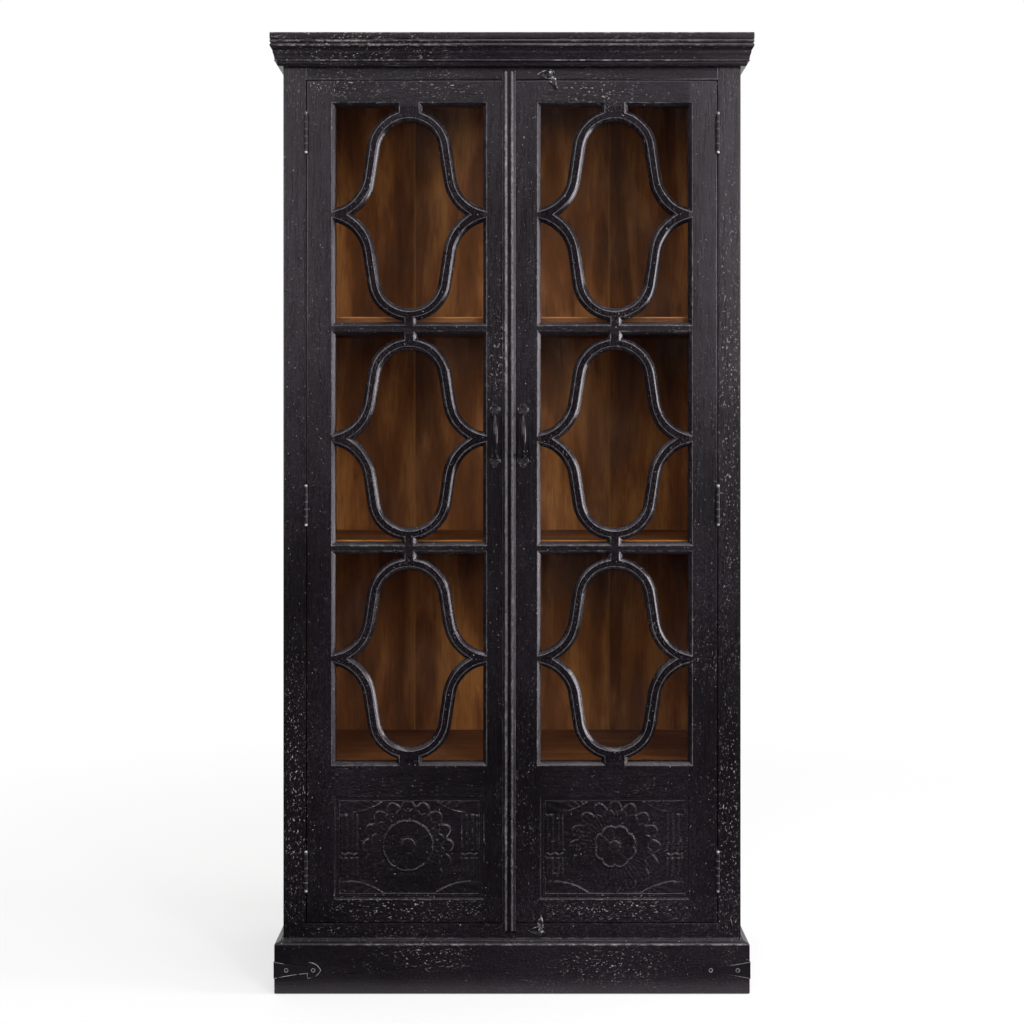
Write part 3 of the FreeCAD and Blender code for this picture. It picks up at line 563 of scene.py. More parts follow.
def cell_openings(low, high):
    """The lantern and the four corner panes of one cell, counter-clockwise, in place on the right door."""
    half_height = (high - low - web_top - web_bottom) / 2
    middle = np.array((sight_mid, low + web_bottom + half_height))
    web_below = web_half_on_rail if low == sight_low else web_half_on_bar
    web_above = web_half_on_rail if high == sight_high else web_half_on_bar
    lantern, panes = [], []
    for flip in ((1, 1), (-1, 1), (-1, -1), (1, -1)):
        web_half = web_above if flip[1] > 0 else web_below
        inner, outer = lantern_side(half_height, web_half)
        forwards = flip[0] * flip[1] > 0
        quarter = [p * flip for p in inner]
        lantern += quarter[::-1] if forwards else quarter
        edge = half_height + (web_top if flip[1] > 0 else web_bottom)
        corner = [np.array((web_half, edge)), *outer, np.array((sight_half, edge))]
        pane = [p * flip for p in corner]
        panes.append(without_repeats(pane if forwards else pane[::-1]) + middle)
    return [without_repeats(lantern) + middle, *panes]


def hand_cut(points):
    """Lets a carved outline wander a little, and leaves its straight ends at the frame alone."""
    moved = offset(points, 1.0)
    outward = moved - points
    edge = np.minimum(np.abs(points[:, 0] - sight_in), np.abs(points[:, 0] - sight_out))
    none, full = wander_starts
    free = np.clip((edge - none) / (full - none), 0, 1)
    drift = np.array([noise.noise(Vector((*(p * wander_per_metre), 0.5))) for p in points])
    return points + outward * (free * drift * wander)[:, None]


def rectangle(x0, x1, z0, z1):
    return np.array(((x0, z0), (x1, z0), (x1, z1), (x0, z1)))


def offset(points, distance):
    """A counter-clockwise outline moved outwards by distance, with mitred corners."""
    ahead = np.roll(points, -1, axis=0) - points
    ahead /= np.linalg.norm(ahead, axis=1)[:, None]
    normal = np.stack((ahead[:, 1], -ahead[:, 0]), axis=1)
    before = np.roll(normal, 1, axis=0)
    mitre = (normal + before) / (1 + np.sum(normal * before, axis=1))[:, None]
    return points + mitre * distance


# Moulding round an opening, from the glass to the flat face
slope_width = 7.4 * MM
slope_depth = 6.4 * MM
arris_radius = 2.1 * MM
flat_ring = 1.6 * MM


def opening_profile():
    """A bevel up to a rounded arris, rubbed and carrying a painted sheen line, as (distance into the wood,
    depth behind the face, wear).
    """
    depth = glass_front - front
    slope = math.atan2(slope_depth, slope_width)
    foot = arris_radius * math.tan(slope / 2)
    steps = [(0, depth, 0), (0, slope_depth + 0.5 * MM, 0.0), (0.35 * MM, slope_depth - 0.1 * MM, 0.4)]
    steps.append((slope_width - foot * math.cos(slope), foot * math.sin(slope), 0.6))
    for i in range(1, 6):
        left = slope * (1 - i / 5)
        steps.append((
            slope_width + foot - arris_radius * math.sin(left), arris_radius * (1 - math.cos(left)),
            1.0 - 0.6 * abs(i / 5 - 0.5),
        ))
    steps.append((slope_width + foot + flat_ring, 0, 0))
    return steps


def panel_profile():
    """A small eased step round the carved panel."""
    steps = [(0, 2.4, 0.2), (0.7, 1.0, 0.55), (1.8, 0.2, 0.66), (2.6, 0, 0.5), (4.6, 0, 0)]
    return [(0, glass_front - front, 0)] + sized(steps)


def door_edge_profile():
    """The nearly sharp outer edge of a door."""
    return [(0, door_back - front, 0)] + sized([(0, 0.7, 0.1), (0.2, 0.2, 0.5), (0.7, 0, 0.4), (3.0, 0, 0)])


def add_rings(bm, outline, profile, sign):
    """Rings of vertices from the back to the front along a profile, joined by faces; returns the rings."""
    rings = []
    for distance, depth, worn in profile:
        moved = offset(outline, sign * distance)
        rings.append(add_row(bm, [((x, front + depth, z), worn) for x, z in moved]))
    join_rings(bm, rings)
    return rings


def add_flat(bm, loops):
    """A flat face with holes, between loops of vertices; the first is the outside."""
    flat = [[v.co for v in loop] for loop in loops]
    verts = [v for loop in loops for v in loop]
    for triangle in tessellate_polygon(flat):
        if len(set(triangle)) == 3:
            bm.faces.new([verts[i] for i in triangle])


def whole_door():
    """The right door's frame and lattice in one closed mesh, to be cut into its members."""
    bm = new_bmesh()
    openings = [hand_cut(o) for row in ROWS for o in cell_openings(*row_spans[row])]
    cells = [add_rings(bm, o, opening_profile(), 1) for o in openings]
    panel = add_rings(bm, rectangle(sight_in, sight_out, panel_low, panel_high), panel_profile(), 1)
    outside = add_rings(bm, rectangle(door_in, door_out, door_low, door_high), door_edge_profile(), -1)
    add_flat(bm, [outside[-1]] + [rings[-1] for rings in cells] + [panel[-1]])
    rebate_profile = [(0, glass_front - front, 0), (0, door_back - front, 0)]
    lap = rebate_width
    glazed = add_rings(
        bm, rectangle(sight_in - lap, sight_out + lap, sight_low - lap, sight_high + lap), rebate_profile, 1
    )
    boxed = add_rings(
        bm, rectangle(sight_in - lap, sight_out + lap, panel_low - lap, panel_high + lap), rebate_profile, 1
    )
    add_flat(bm, [glazed[0]] + [rings[0] for rings in cells])
    add_flat(bm, [boxed[0], panel[0]])
    add_flat(bm, [outside[0], glazed[1], boxed[1]])
    bmesh.ops.recalc_face_normals(bm, faces=bm.faces)
    return bm


def cut_out(source, x0, x1, z0, z1):
    """A closed copy of the part of a mesh between four planes; None leaves that side open."""
    bm = source.copy()
    for axis, sign, wanted in ((0, -1, x0), (0, 1, x1), (2, -1, z0), (2, 1, z1)):
        if wanted is None:
            continue
        on_plane, normal = Vector((0, 0, 0)), Vector((0, 0, 0))
        on_plane[axis] = wanted
        normal[axis] = sign
        geometry = bm.verts[:] + bm.edges[:] + bm.faces[:]
        cut = bmesh.ops.bisect_plane(
            bm, geom=geometry, dist=1e-7, plane_co=on_plane, plane_no=normal, clear_outer=True
        )["geom_cut"]
        edges = [e for e in cut if isinstance(e, bmesh.types.BMEdge)]
        bmesh.ops.triangle_fill(bm, use_beauty=True, edges=edges, normal=normal)
    return bm


def mirrored(bm):
    for v in bm.verts:
        v.co.x = -v.co.x
    bmesh.ops.reverse_faces(bm, faces=bm.faces)
    return bm


def door_members():
    """Cuts both doors into stiles, rails, bars and frets."""
    hair = 0.02 * MM
    whole = whole_door()
    inner, outer = sight_in + hair, sight_out - hair
    bars = [(row_spans[a][1], row_spans[b][0]) for a, b in zip(ROWS, ROWS[1:])]
    members = {
        "meeting_stile": [(None, inner, None, None)],
        "hinge_stile": [(outer, None, None, None)],
        "top_rail": [(inner, outer, sight_high - hair, None)],
        "lock_rail": [(inner, outer, panel_high - hair, sight_low + hair)],
        "bottom_rail": [(inner, outer, None, panel_low + hair)],
        "glazing_bars": [(inner, outer, low - hair, high + hair) for low, high in bars],
    }
    for row, (low, high) in row_spans.items():
        members[f"fret_{row}"] = [(inner, outer, low + hair, high - hair)]
    for member, cuts in members.items():
        along = "z" if "stile" in member or "fret" in member else "x"
        for side_name, side in SIDES.items():
            bm = new_bmesh()
            for cut in cuts:
                piece = cut_out(whole, *cut)
                scratch = bpy.data.meshes.new("scratch")
                piece.to_mesh(scratch)
                piece.free()
                bm.from_mesh(scratch)
                bpy.data.meshes.remove(scratch)
            if side < 0:
                mirrored(bm)
            node = f"{side_name}_{member}"
            paint = LATTICE_PAINT if "fret" in member else PAINT[along]
            place_wood(node, bm, paint, f"door_{side_name}")
    whole.free()


# Cornice and plinth

def cove(start, end, steps, bulge):
    """Points from start to end on a shallow curve; a positive bulge hollows it."""
    points = []
    for i in range(1, steps):
        t = i / steps
        out = start[0] + (end[0] - start[0]) * t
        height = start[1] + (end[1] - start[1]) * t
        swell = bulge * math.sin(math.pi * t)
        points.append((out - swell, height - swell * 0.5, 0.1))
    return points


def cap_section():
    """The edge of the cap board: a plain band above two reeds, as (out, height, wear)."""
    low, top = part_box("cap_board")[0].z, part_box("cap_board")[1].z
    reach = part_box("cap_board")[1].x - body_half
    swell = 2.2 * MM
    points = [
        (reach - 4 * MM, top, 0), (reach - 1.2 * MM, top, 1), (reach, top - 1.2 * MM, 1),
        (reach, top - 5 * MM, 0), (reach, top - 12.5 * MM, 0.1), (reach - 0.3 * MM, top - 13.6 * MM, 0.9),
    ]
    for start, stop in ((14.2 * MM, 21.6 * MM), (22.8 * MM, 30.6 * MM)):
        for cosine, sine in turn_steps(8):
            height = top - (start + stop) / 2 + (stop - start) / 2 * cosine
            points.append((reach - swell + swell * sine, height, 0.1 + 0.65 * sine ** 2))
    points.append((reach - 3 * MM, low, 0))
    return points


def crown_section():
    """The crown moulding: a cove, a nosing and a foot, as (out, height, wear)."""
    low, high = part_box("crown_front")[0].z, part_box("crown_front")[1].z
    top = (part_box("crown_right")[1].x - body_half - 0.6 * MM, high)
    waist = (19.5 * MM, high - 10 * MM)
    nose_out, nose_low, nose_half = 15.5 * MM, low + 9 * MM, 1.6 * MM
    points = [(0, low, 0), (0, high, 0), (*top, 0)]
    points += cove(top, waist, 5, 1.2 * MM)
    points += [(*waist, 0.5)]
    points += cove(waist, (nose_out + 0.8 * MM, nose_low + 2 * nose_half), 5, 0.9 * MM)
    for cosine, sine in turn_steps(6):
        height = nose_low + nose_half + nose_half * cosine
        points.append((nose_out + 1.4 * MM * sine, height, 0.3 + 0.7 * sine ** 2))
    points += [(12.7 * MM, nose_low - 0.4 * MM, 0.0), (11.6 * MM, low + 3 * MM, 0.2), (10 * MM, low, 0.6)]
    return points


def ringed(name, section, half, face):
    """Runs one section round the front and both ends, mitred at the corners; out is measured from half
    the width at the ends and from the face in front."""
    def corner(side):
        return lambda out, height: (side * (half + out), face - out, height)

    def end(side):
        return lambda out, height: (side * (half + out), back, height)

    extruded_run(f"{name}_front", section, corner(-1), corner(1), PAINT["x"])
    extruded_run(f"{name}_left", section, end(-1), corner(-1), PAINT["y"])
    extruded_run(f"{name}_right", section, corner(1), end(1), PAINT["y"])


def cap_board():
    """The cap board with its reeded edge on three sides and a flat top and underside."""
    bm = new_bmesh()
    rings = []
    for out, height, worn in cap_section():
        half, face = body_half + out, front - out
        corners = ((-half, back), (-half, face), (half, face), (half, back))
        rings.append(add_row(bm, [((x, y, height), worn) for x, y in corners]))
    for a, b in zip(rings, rings[1:]):
        for i in range(3):
            bm.faces.new((a[i], a[i + 1], b[i + 1], b[i]))
    for ring in (rings[0], rings[-1]):
        bm.faces.new(ring)
    bm.faces.new([r[0] for r in rings] + [r[3] for r in reversed(rings)])
    bmesh.ops.recalc_face_normals(bm, faces=bm.faces)
    place_wood("cap_board", bm, PAINT["x"])


def plinth_section():
    """A plinth board: a ledge with three reeds over an eased face, as (out, height, wear)."""
    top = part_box("plinth_front")[1].z
    shoulder = top - 6.5 * MM
    points = [(-40 * MM, 0, 0), (-40 * MM, top, 0), (-24 * MM, top, 0)]
    for middle, drop, worn in ((-21.5, 0.0, 1.0), (-16.0, 0.7, 0.55), (-10.5, 1.6, 0.55)):
        for cosine, sine in turn_steps(6):
            height = top - (drop + 1.3 - 1.3 * sine) * MM
            points.append(((middle - 2.2 * cosine) * MM, height, worn * sine ** 2))
    points += [
        (-6.5 * MM, top - 3.4 * MM, 0.2), (-3.0 * MM, top - 4.4 * MM, 0.3),
        (-1.2 * MM, shoulder + 0.8 * MM, 0.8), (-0.3 * MM, shoulder, 1.0),
        (0, shoulder - 1.2 * MM, 0.9), (0, shoulder - 4 * MM, 0),
        (0, 8 * MM, 0), (-0.1 * MM, 3.5 * MM, 0.4), (-1.2 * MM, 1.1 * MM, 0.6), (-3.5 * MM, 0, 0.3),
    ]
    return points


# Carved panels, as a relief over a grid; the sizes of the carving are in mm

relief_pitch = 1.25 * MM
panel_sunk = 6.5 * MM
ROSETTES = {
    "left": {"shift": (-3.0, 3.5), "ring": 53.0, "lobes": 12, "scallop": 2.0, "button": 16.0},
    "right": {"shift": (0.5, 1.5), "ring": 44.0, "lobes": 8, "scallop": 6.0, "button": 13.0},
}
petal_count = 16
PETAL_ROWS = {"outer": (97.0, 1.7, 0.0), "inner": (80.0, 2.4, math.pi / petal_count)}
rosette_clear = (92, 97)
border_width = 9
border_gap = 2
leaf_in, leaf_out = 50, 128
leaf_top, leaf_droop = 101, 29
leaf_root = (40, 60)
leaf_ribs = 30
strip_in, strip_width = 108, 36
strip_flutes = 3
strip_bracket = -15


def smooth(value, low, high):
    """Rises smoothly from nought at low to one at high."""
    t = np.clip((value - low) / np.maximum(high - low, 1e-9), 0, 1)
    return t * t * (3 - 2 * t)


def line_ridge(distance, width):
    return np.exp(-(distance / width) ** 2)


def angle_fold(angle, count, shift=0.0):
    """The angle to the middle of the nearest of count equal sectors, as a part of half a sector."""
    step = 2 * math.pi / count
    return np.abs((angle + shift + step / 2) % step - step / 2) / (step / 2)


def rosette(u, v, ring, lobes, scallop, button):
    """A button in a lobed ring, inside two rows of ribbed petals. Heights in mm."""
    r = np.hypot(u, v)
    angle = np.arctan2(v, u)
    lobe = angle_fold(angle, lobes, math.pi / lobes)
    ring_there = ring - scallop * lobe ** 3
    height = np.zeros_like(r)
    for reach, rise, turn in PETAL_ROWS.values():
        across = angle_fold(angle, petal_count, turn)
        tip = reach - (reach - ring) * 0.34 * across ** 2.2
        inside = smooth(tip - r, -0.5, 2.0) * smooth(r - ring_there, -1.0, 2.0)
        ribs = 0.5 * np.cos(across * math.pi * 3.0) - 0.5 * line_ridge(across - 1, 0.12)
        swell = 0.5 + 0.5 * smooth(r, ring, reach - 8)
        petal = rise * swell + ribs * 0.55 * smooth(tip - r, 1.0, 9.0)
        height = np.maximum(height, inside * petal)
    seeds = line_ridge(r - (ring + 9), 4.0) * line_ridge(angle_fold(angle, 2 * petal_count), 0.55)
    height += 0.5 * seeds * smooth(r, ring + 2, ring + 6)
    bowl = 1.5 + 0.9 * smooth(r, button, ring - 4) - 0.7 * line_ridge(lobe - 1, 0.16)
    height = np.where(r < ring_there, bowl, height)
    height += 1.7 * line_ridge(r - ring_there, 1.9)
    dome = 2.6 + 1.5 * np.sqrt(np.clip(1 - (r / button) ** 2, 0, 1))
    dots = np.cos(u * 2 * math.pi / 5.2) * np.cos(v * 2 * math.pi / 5.2)
    dome += 0.45 * np.clip(dots, -0.3, 1)
    height = np.where(r < button, np.maximum(height, dome), height)
    return height + 0.9 * line_ridge(r - button - 2.2, 1.1)


def corner_leaf(u, v):
    """A ribbed quarter leaf in each corner, bounded by a drooping curve. Heights in mm."""
    across, up = np.abs(u), np.abs(v)
    t = np.clip((across - leaf_in) / (leaf_out - leaf_in), 0, 1)
    boundary = leaf_top - leaf_droop * np.sin(t * math.pi / 2) ** 0.8
    begun = smooth(across, leaf_in - 2, leaf_in + 4)
    inside = smooth(up - boundary, -0.5, 1.5) * begun
    spread = np.arctan2(up - leaf_root[1], across - leaf_root[0])
    ribs = 0.45 * np.cos(spread * leaf_ribs)
    edge = line_ridge(up - boundary, 1.5) * begun * smooth(-across, -leaf_out - 1, 6 - leaf_out)
    return inside * (1.2 + ribs) + 1.5 * edge


def side_strip(u, v):
    """Fluted strips at both ends, in two lengths with a wavy bracket between. Heights in mm."""
    across = np.abs(u)
    along = (across - strip_in) / strip_width
    flutes = 0.55 * np.cos(along * 2 * math.pi * strip_flutes)
    upper = smooth(v, -10, -6) * smooth(-v, -74 - 6 * np.cos(along * math.pi), -68)
    lower = smooth(-v, 20, 24) * smooth(v, -64 + 5 * np.sin(along * math.pi), -58)
    end = strip_in + strip_width
    width = smooth(across, strip_in - 1, strip_in + 2) * smooth(-across, -end - 1, 2 - end)
    wave = strip_bracket + 1.6 * np.cos(along * 4 * math.pi)
    bracket = 1.8 * line_ridge(v - wave, 1.8) * width
    return width * (upper + lower) * (1.3 + flutes) + bracket


def panel_relief(u, v, side_name, half_u, half_v):
    """Height of the carving in mm over its sunk floor, at u, v from the panel's middle."""
    sizes = dict(ROSETTES[side_name])
    shift_u, shift_v = sizes.pop("shift")
    height = rosette(u - shift_u, v - shift_v, **sizes)
    far = smooth(np.hypot(u - shift_u, v - shift_v), *rosette_clear)
    height = np.maximum(height, corner_leaf(u, v) * far)
    height = np.maximum(height, side_strip(u, v) * far)
    height += 0.25 * noise_grid(u, v)
    edge = np.minimum(half_u - np.abs(u), half_v - np.abs(v))
    border = 1.5 + 0.5 * np.cos(np.clip(edge, 0, border_width) / border_width * 4 * math.pi)
    rising = height * (edge - border_width) / border_gap
    height = np.where(edge < border_width + border_gap, rising, height)
    return np.where(edge < border_width, border, height)


def noise_grid(u, v):
    """Uneven gouge marks."""
    values = [noise.noise(Vector((a * 0.11, b * 0.11, 3.0))) for a, b in zip(u.ravel(), v.ravel())]
    return np.array(values).reshape(u.shape)


def panel_wear(u, v, height, side):
    """The carving is rubbed where it stands above its surroundings, most at the top and in the middle."""
    around = sum(np.roll(height, shift, axis) for shift in (-3, -1, 1, 3) for axis in (0, 1)) / 8
    worn = np.clip((height - around) * 1.8 + 0.1 * height, 0, 1)
    if side < 0:
        return worn * (0.78 + 0.22 * np.tanh(v / v.max() * 4))
    return np.where(np.hypot(u, v) < 50 * MM, worn, 0.72 * worn)


def carved_panel(side_name):
    """A panel with its carving as a grid in front and a tongue that the door's frame holds."""
    side = SIDES[side_name]
    middle_x, middle_z = side * sight_mid, (panel_low + panel_high) / 2
    half_v = (panel_high - panel_low) / 2
    floor_y = front + panel_sunk
    columns = round(2 * sight_half / relief_pitch) + 1
    rows = round(2 * half_v / relief_pitch) + 1
    u, v = np.meshgrid(np.linspace(-sight_half, sight_half, columns), np.linspace(-half_v, half_v, rows))
    height = panel_relief(u / MM, v / MM, side_name, sight_half / MM, half_v / MM)
    worn = panel_wear(u, v, height, side)
    x, y, z = middle_x + u, floor_y - height * MM, middle_z + v
    bm = new_bmesh()
    grid = []
    for i in range(rows):
        grid.append(add_row(bm, [((x[i, j], y[i, j], z[i, j]), worn[i, j]) for j in range(columns)]))
    for i in range(rows - 1):
        for j in range(columns - 1):
            bm.faces.new((grid[i][j], grid[i][j + 1], grid[i + 1][j + 1], grid[i + 1][j]))
    loop = grid[0][:-1] + [line[-1] for line in grid[:-1]]
    loop += grid[-1][:0:-1] + [line[0] for line in grid[:0:-1]]
    back_loop = add_row(bm, [((vert.co.x, glass_front, vert.co.z), 0) for vert in loop])
    join_rings(bm, [loop, back_loop])
    tongue = rebate_width - 0.3 * MM
    half_width, half_height = sight_half + tongue, half_v + tongue
    corners = rectangle(
        middle_x - half_width, middle_x + half_width, middle_z - half_height, middle_z + half_height,
    )
    shoulders = add_row(bm, [((px, glass_front + 0.02 * MM, pz), 0) for px, pz in corners])
    backs = add_row(bm, [((px, glass_front + 6 * MM, pz), 0) for px, pz in corners])
    add_flat(bm, [shoulders, back_loop])
    join_rings(bm, [shoulders, backs])
    bm.faces.new(backs)
    bmesh.ops.recalc_face_normals(bm, faces=bm.faces)
    place_wood(f"{side_name}_carved_panel", bm, PAINT["x"], f"door_{side_name}", sharp=60)


# Cover moulding

def astragal():
    """Two reeds with a groove between, lapped over the left door, with rounded ends. The reeds' crests carry
    wear and a painted sheen line, a little stronger towards the top.
    """
    low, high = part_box("right_astragal")
    base = front - 4 * MM
    lap = front - 0.5 * MM
    reed, lip, rounding = 5.2 * MM, 2 * MM, 7 * MM

    def section(depth, foot):
        forward = base if depth > 0.4 else lap - (lap - base) * max(depth, 0.15) / 0.4
        points = [(low.x, lap, 0), (low.x, forward + 0.8 * MM, 0.5), (low.x + 0.8 * MM, forward, 1.0)]
        for middle in (low.x + reed + lip, high.x - reed - lip):
            for cosine, sine in turn_steps(12):
                out = forward - reed * depth * sine
                points.append((middle - (reed + 0.3 * MM) * cosine, out, max(0.0, sine) ** 3))
        points += [(high.x - 0.8 * MM, forward, 1.0), (high.x, forward + 0.8 * MM, 0.5)]
        return points + [(high.x, foot, 0), (door_in, foot, 0), (door_in, lap, 0)]

    rise = [(rounding * (1 - cosine), sine) for cosine, sine in turn_steps(6, math.pi / 2)]
    stations = [(low.z + up, depth, lap) for up, depth in rise]
    stations += [(door_low, 1, lap), (door_low, 1, front), (door_high, 1, front), (door_high, 1, lap)]
    stations += [(high.z - up, depth, lap) for up, depth in reversed(rise)]
    bm = new_bmesh()
    rings = []
    for z, depth, foot in stations:
        # The crests' wear, and with it their painted sheen line, rises a little towards the top
        rubbed = 0.86 + 0.14 * (z - low.z) / (high.z - low.z)
        rings.append(add_row(bm, [((x, y, z), worn * rubbed) for x, y, worn in section(depth, foot)]))
    close_rings(bm, rings)
    place_wood("right_astragal", bm, PAINT["z"], "door_right", sharp=50)


# Ironwork

def square_to(axis):
    """The axis as a unit vector, and two more at right angles to it."""
    axis = Vector(axis).normalized()
    side = axis.orthogonal().normalized()
    return axis, side, axis.cross(side)


def add_lathe(bm, centre, axis, profile, segments=28):
    """A turned shape. profile lists (radius, distance along the axis, wear) from one end to the other."""
    axis, side, other = square_to(axis)
    spokes = [side * cosine + other * sine for cosine, sine in circle(segments)]
    rings = []
    for radius, along, worn in profile:
        middle = Vector(centre) + axis * along
        rings.append(add_row(bm, [(middle + spoke * max(radius, 0.01 * MM), worn) for spoke in spokes]))
    close_rings(bm, rings)


def dome_profile(radius, rise, worn=1.0):
    points = []
    for cosine, sine in turn_steps(6, math.pi / 2):
        points.append((radius * cosine, rise * sine, worn * (0.2 + 0.8 * sine)))
    return points


def add_tube(bm, path, radii, segments, worn):
    """A round bar along a list of points, with a radius at each."""
    path = [Vector(p) for p in path]
    rings = []
    normal = (path[1] - path[0]).normalized().orthogonal()
    for i, (point, radius) in enumerate(zip(path, radii)):
        tangent = (path[min(i + 1, len(path) - 1)] - path[max(i - 1, 0)]).normalized()
        normal = (normal - tangent * normal.dot(tangent)).normalized()
        other = tangent.cross(normal)
        spokes = [normal * cosine + other * sine for cosine, sine in circle(segments)]
        rings.append(add_row(bm, [(point + spoke * radius, worn) for spoke in spokes]))
    close_rings(bm, rings)


def add_plate(bm, outline, to_place, thick, rim=0.8 * MM, dish=0.0, rim_wear=None):
    """A flat plate with an eased, worn rim. to_place turns (x, z, forward) into a point, a dish sinks the
    plate inside its rim, and rim_wear is a share for each point of the outline."""
    steps = [
        (0, 0, 0.0), (0, thick - rim * 0.8, 0.6), (-rim * 0.35, thick - rim * 0.2, 1.0),
        (-rim, thick, 1.0), (-rim * 1.8, thick - dish * 0.3, 0.6), (-rim * 2.8, thick - dish, 0.0),
    ]
    shares = rim_wear or [1.0] * len(outline)
    rings = []
    for distance, forward, worn in steps:
        moved = zip(offset(outline, distance), shares)
        rings.append(add_row(bm, [(to_place(x, z, forward), worn * share) for (x, z), share in moved]))
    close_rings(bm, rings)


def lobed_outline(lobes, count=72):
    """The outside of some overlapping circles round the origin, each (x, z, radius)."""
    points = []
    for cosine, sine in circle(count):
        reach = 0.0
        for x, z, radius in lobes:
            along = x * cosine + z * sine
            miss = x * x + z * z - along * along
            if radius * radius > miss:
                reach = max(reach, along + math.sqrt(radius * radius - miss))
        points.append((cosine * reach, sine * reach))
    return np.array(points)


def scroll(centre, radius, start, turn, y, thick):
    """Points and radii of a small spiral that lies on a plate."""
    points, radii = [], []
    for i in range(15):
        angle = start + turn * i / 14
        reach = radius * (1 - 0.72 * i / 14)
        points.append((centre[0] + reach * math.cos(angle), y, centre[1] + reach * math.sin(angle)))
        radii.append(thick * (0.55 + 0.45 * math.sin(math.pi * min(1, 0.25 + i / 10))))
    return points, radii


handle_plate_half = 53 * MM
handle_plate_thick = 2.5 * MM
handle_lobe = 6.5 * MM
side_lobe_out = 6 * MM
end_lobe_out = 8.4 * MM
grip_lobe_out = 7.5 * MM
scroll_out = 6.4 * MM
scroll_radius = 4.6 * MM
stud_up = 9 * MM
collar_down = 8.6 * MM
grip_bend = 13 * MM
grip_stand = 28.5 * MM
grip_sag = 3.5 * MM
grip_slim = 3.6 * MM


def add_handle_plate(bm, x, z, end):
    """A lobed plate with two scrolls, a stud and the grip's collar; end is 1 at the top and -1 below."""
    def on_door(px, pz, forward):
        return Vector((x + px, front - forward, z + pz))

    thick, lobe = handle_plate_thick, handle_lobe
    lobes = [
        (-side_lobe_out, 0, lobe), (side_lobe_out, 0, lobe),
        (0, end * end_lobe_out, lobe), (0, -end * grip_lobe_out, lobe),
    ]
    outline = lobed_outline(lobes)
    add_plate(bm, outline, on_door, thick, 0.7 * MM, 0.5 * MM, [0.7] * len(outline))
    for curl in (-1, 1):
        middle = (x + curl * scroll_out, z)
        turn = curl * -end * 1.6 * math.pi
        path, radii = scroll(middle, scroll_radius, math.pi / 2 * end, turn, front - thick, 1.1 * MM)
        add_tube(bm, path, radii, 8, 0.7)
    stud = dome_profile(3.6 * MM, 1.9 * MM, 0.5)
    add_lathe(bm, on_door(0, end * stud_up, thick - 0.6 * MM), (0, -1, 0), stud)
    collar = sized([(5.2, 0, 0.2), (5.0, 1.0, 0.8), (4.2, 1.8, 0.4), (3.6, 3.2, 0)])
    add_lathe(bm, on_door(0, -end * collar_down, thick - 0.4 * MM), (0, -1, 0), collar)


def grip_path(x, middle):
    """Points and radii of the bow, from the lower plate out, up and back to the upper plate."""
    leg = handle_plate_half - handle_lobe - grip_slim
    foot, out = 1 * MM, grip_stand - grip_sag - grip_bend
    half = []
    for i in range(4):
        half.append((foot + (out - foot) * i / 4, leg, grip_slim + 1.2 * MM * (1 - i / 4) ** 2))
    for cosine, sine in turn_steps(8, math.pi / 2):
        half.append((out + grip_bend * sine, leg - grip_bend + grip_bend * cosine, 3.5 * MM))
    bow = []
    for i in range(1, 32):
        along = -1 + 2 * i / 32
        radius = grip_slim + 3.9 * MM * math.cos(along * math.pi / 2) ** 0.9
        bow.append((grip_stand - grip_sag * along * along, (leg - grip_bend) * along, radius))
    whole = [(away, -up, radius) for away, up, radius in half] + bow + half[::-1]
    path = [(x, front - away, middle + up) for away, up, radius in whole]
    return path, [radius for away, up, radius in whole]


def handle(side_name):
    """A bow handle with a lobed, scrolled plate at each end, and the screws that hold it."""
    node, body = f"{side_name}_handle", f"door_{side_name}"
    low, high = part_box(node)
    x, middle = (low.x + high.x) / 2, (low.z + high.z) / 2
    bm, screws = new_bmesh(), new_bmesh()
    for end in (-1, 1):
        z = middle + end * handle_plate_half
        add_handle_plate(bm, x, z, end)
        for across in (-side_lobe_out, side_lobe_out):
            add_screw(screws, (x + across, front - handle_plate_thick, z), 2.6 * MM, 1.4 * MM)
    plates = set(bm.faces)
    add_tube(bm, *grip_path(x, middle), 20, 0.0)
    for face in set(bm.faces) - plates:
        face.material_index = 1
    place_iron(node, bm, [IRON, GRIP_IRON], body)
    place_iron(f"{node}_screws", screws, [IRON], body)


def add_screw(bm, centre, radius, rise):
    """A domed head with a straight slot, which faces forward."""
    axis, side, other = square_to((0, -1, 0))
    slot_half, slot_depth = 0.16 * radius, 0.4 * rise
    rings = []
    for step in range(8):
        share = 1 - step / 8
        lift = rise * math.sqrt(max(0.0, 1 - share ** 2))
        points = []
        for cosine, sine in circle(32):
            across = radius * share * sine
            sunk = step > 0 and abs(across) < slot_half
            along = lift - slot_depth if sunk else lift
            at = Vector(centre) + side * (radius * share * cosine) + other * across + axis * along
            points.append((at, 0.0 if sunk or not step else 0.65))
        rings.append(add_row(bm, points))
    close_rings(bm, rings)


def latch_outline(length, half):
    """A leaf-shaped plate from its point at the left to its round end at the pivot."""
    points = []
    for i in range(15):
        t = i / 14
        points.append((-length * (1 - t), -half * math.sin(t * math.pi / 2) ** 0.85))
    for i in range(1, 16):
        turn = math.pi * i / 16 - math.pi / 2
        points.append((half * math.cos(turn), half * math.sin(turn)))
    points += [(px, -pz) for px, pz in points[14:0:-1]]
    return without_repeats([np.array(p) for p in points])


latch_plate_length = 27 * MM
latch_plate_half = 10 * MM
latch_plate_thick = 2 * MM
latch_spade_length = 34 * MM
latch_spade_thick = 3 * MM
latch_lean = math.radians(25)
latch_screw_out = 15 * MM
latch_bore = 2.06 * MM
latch_boss_radius = 6 * MM


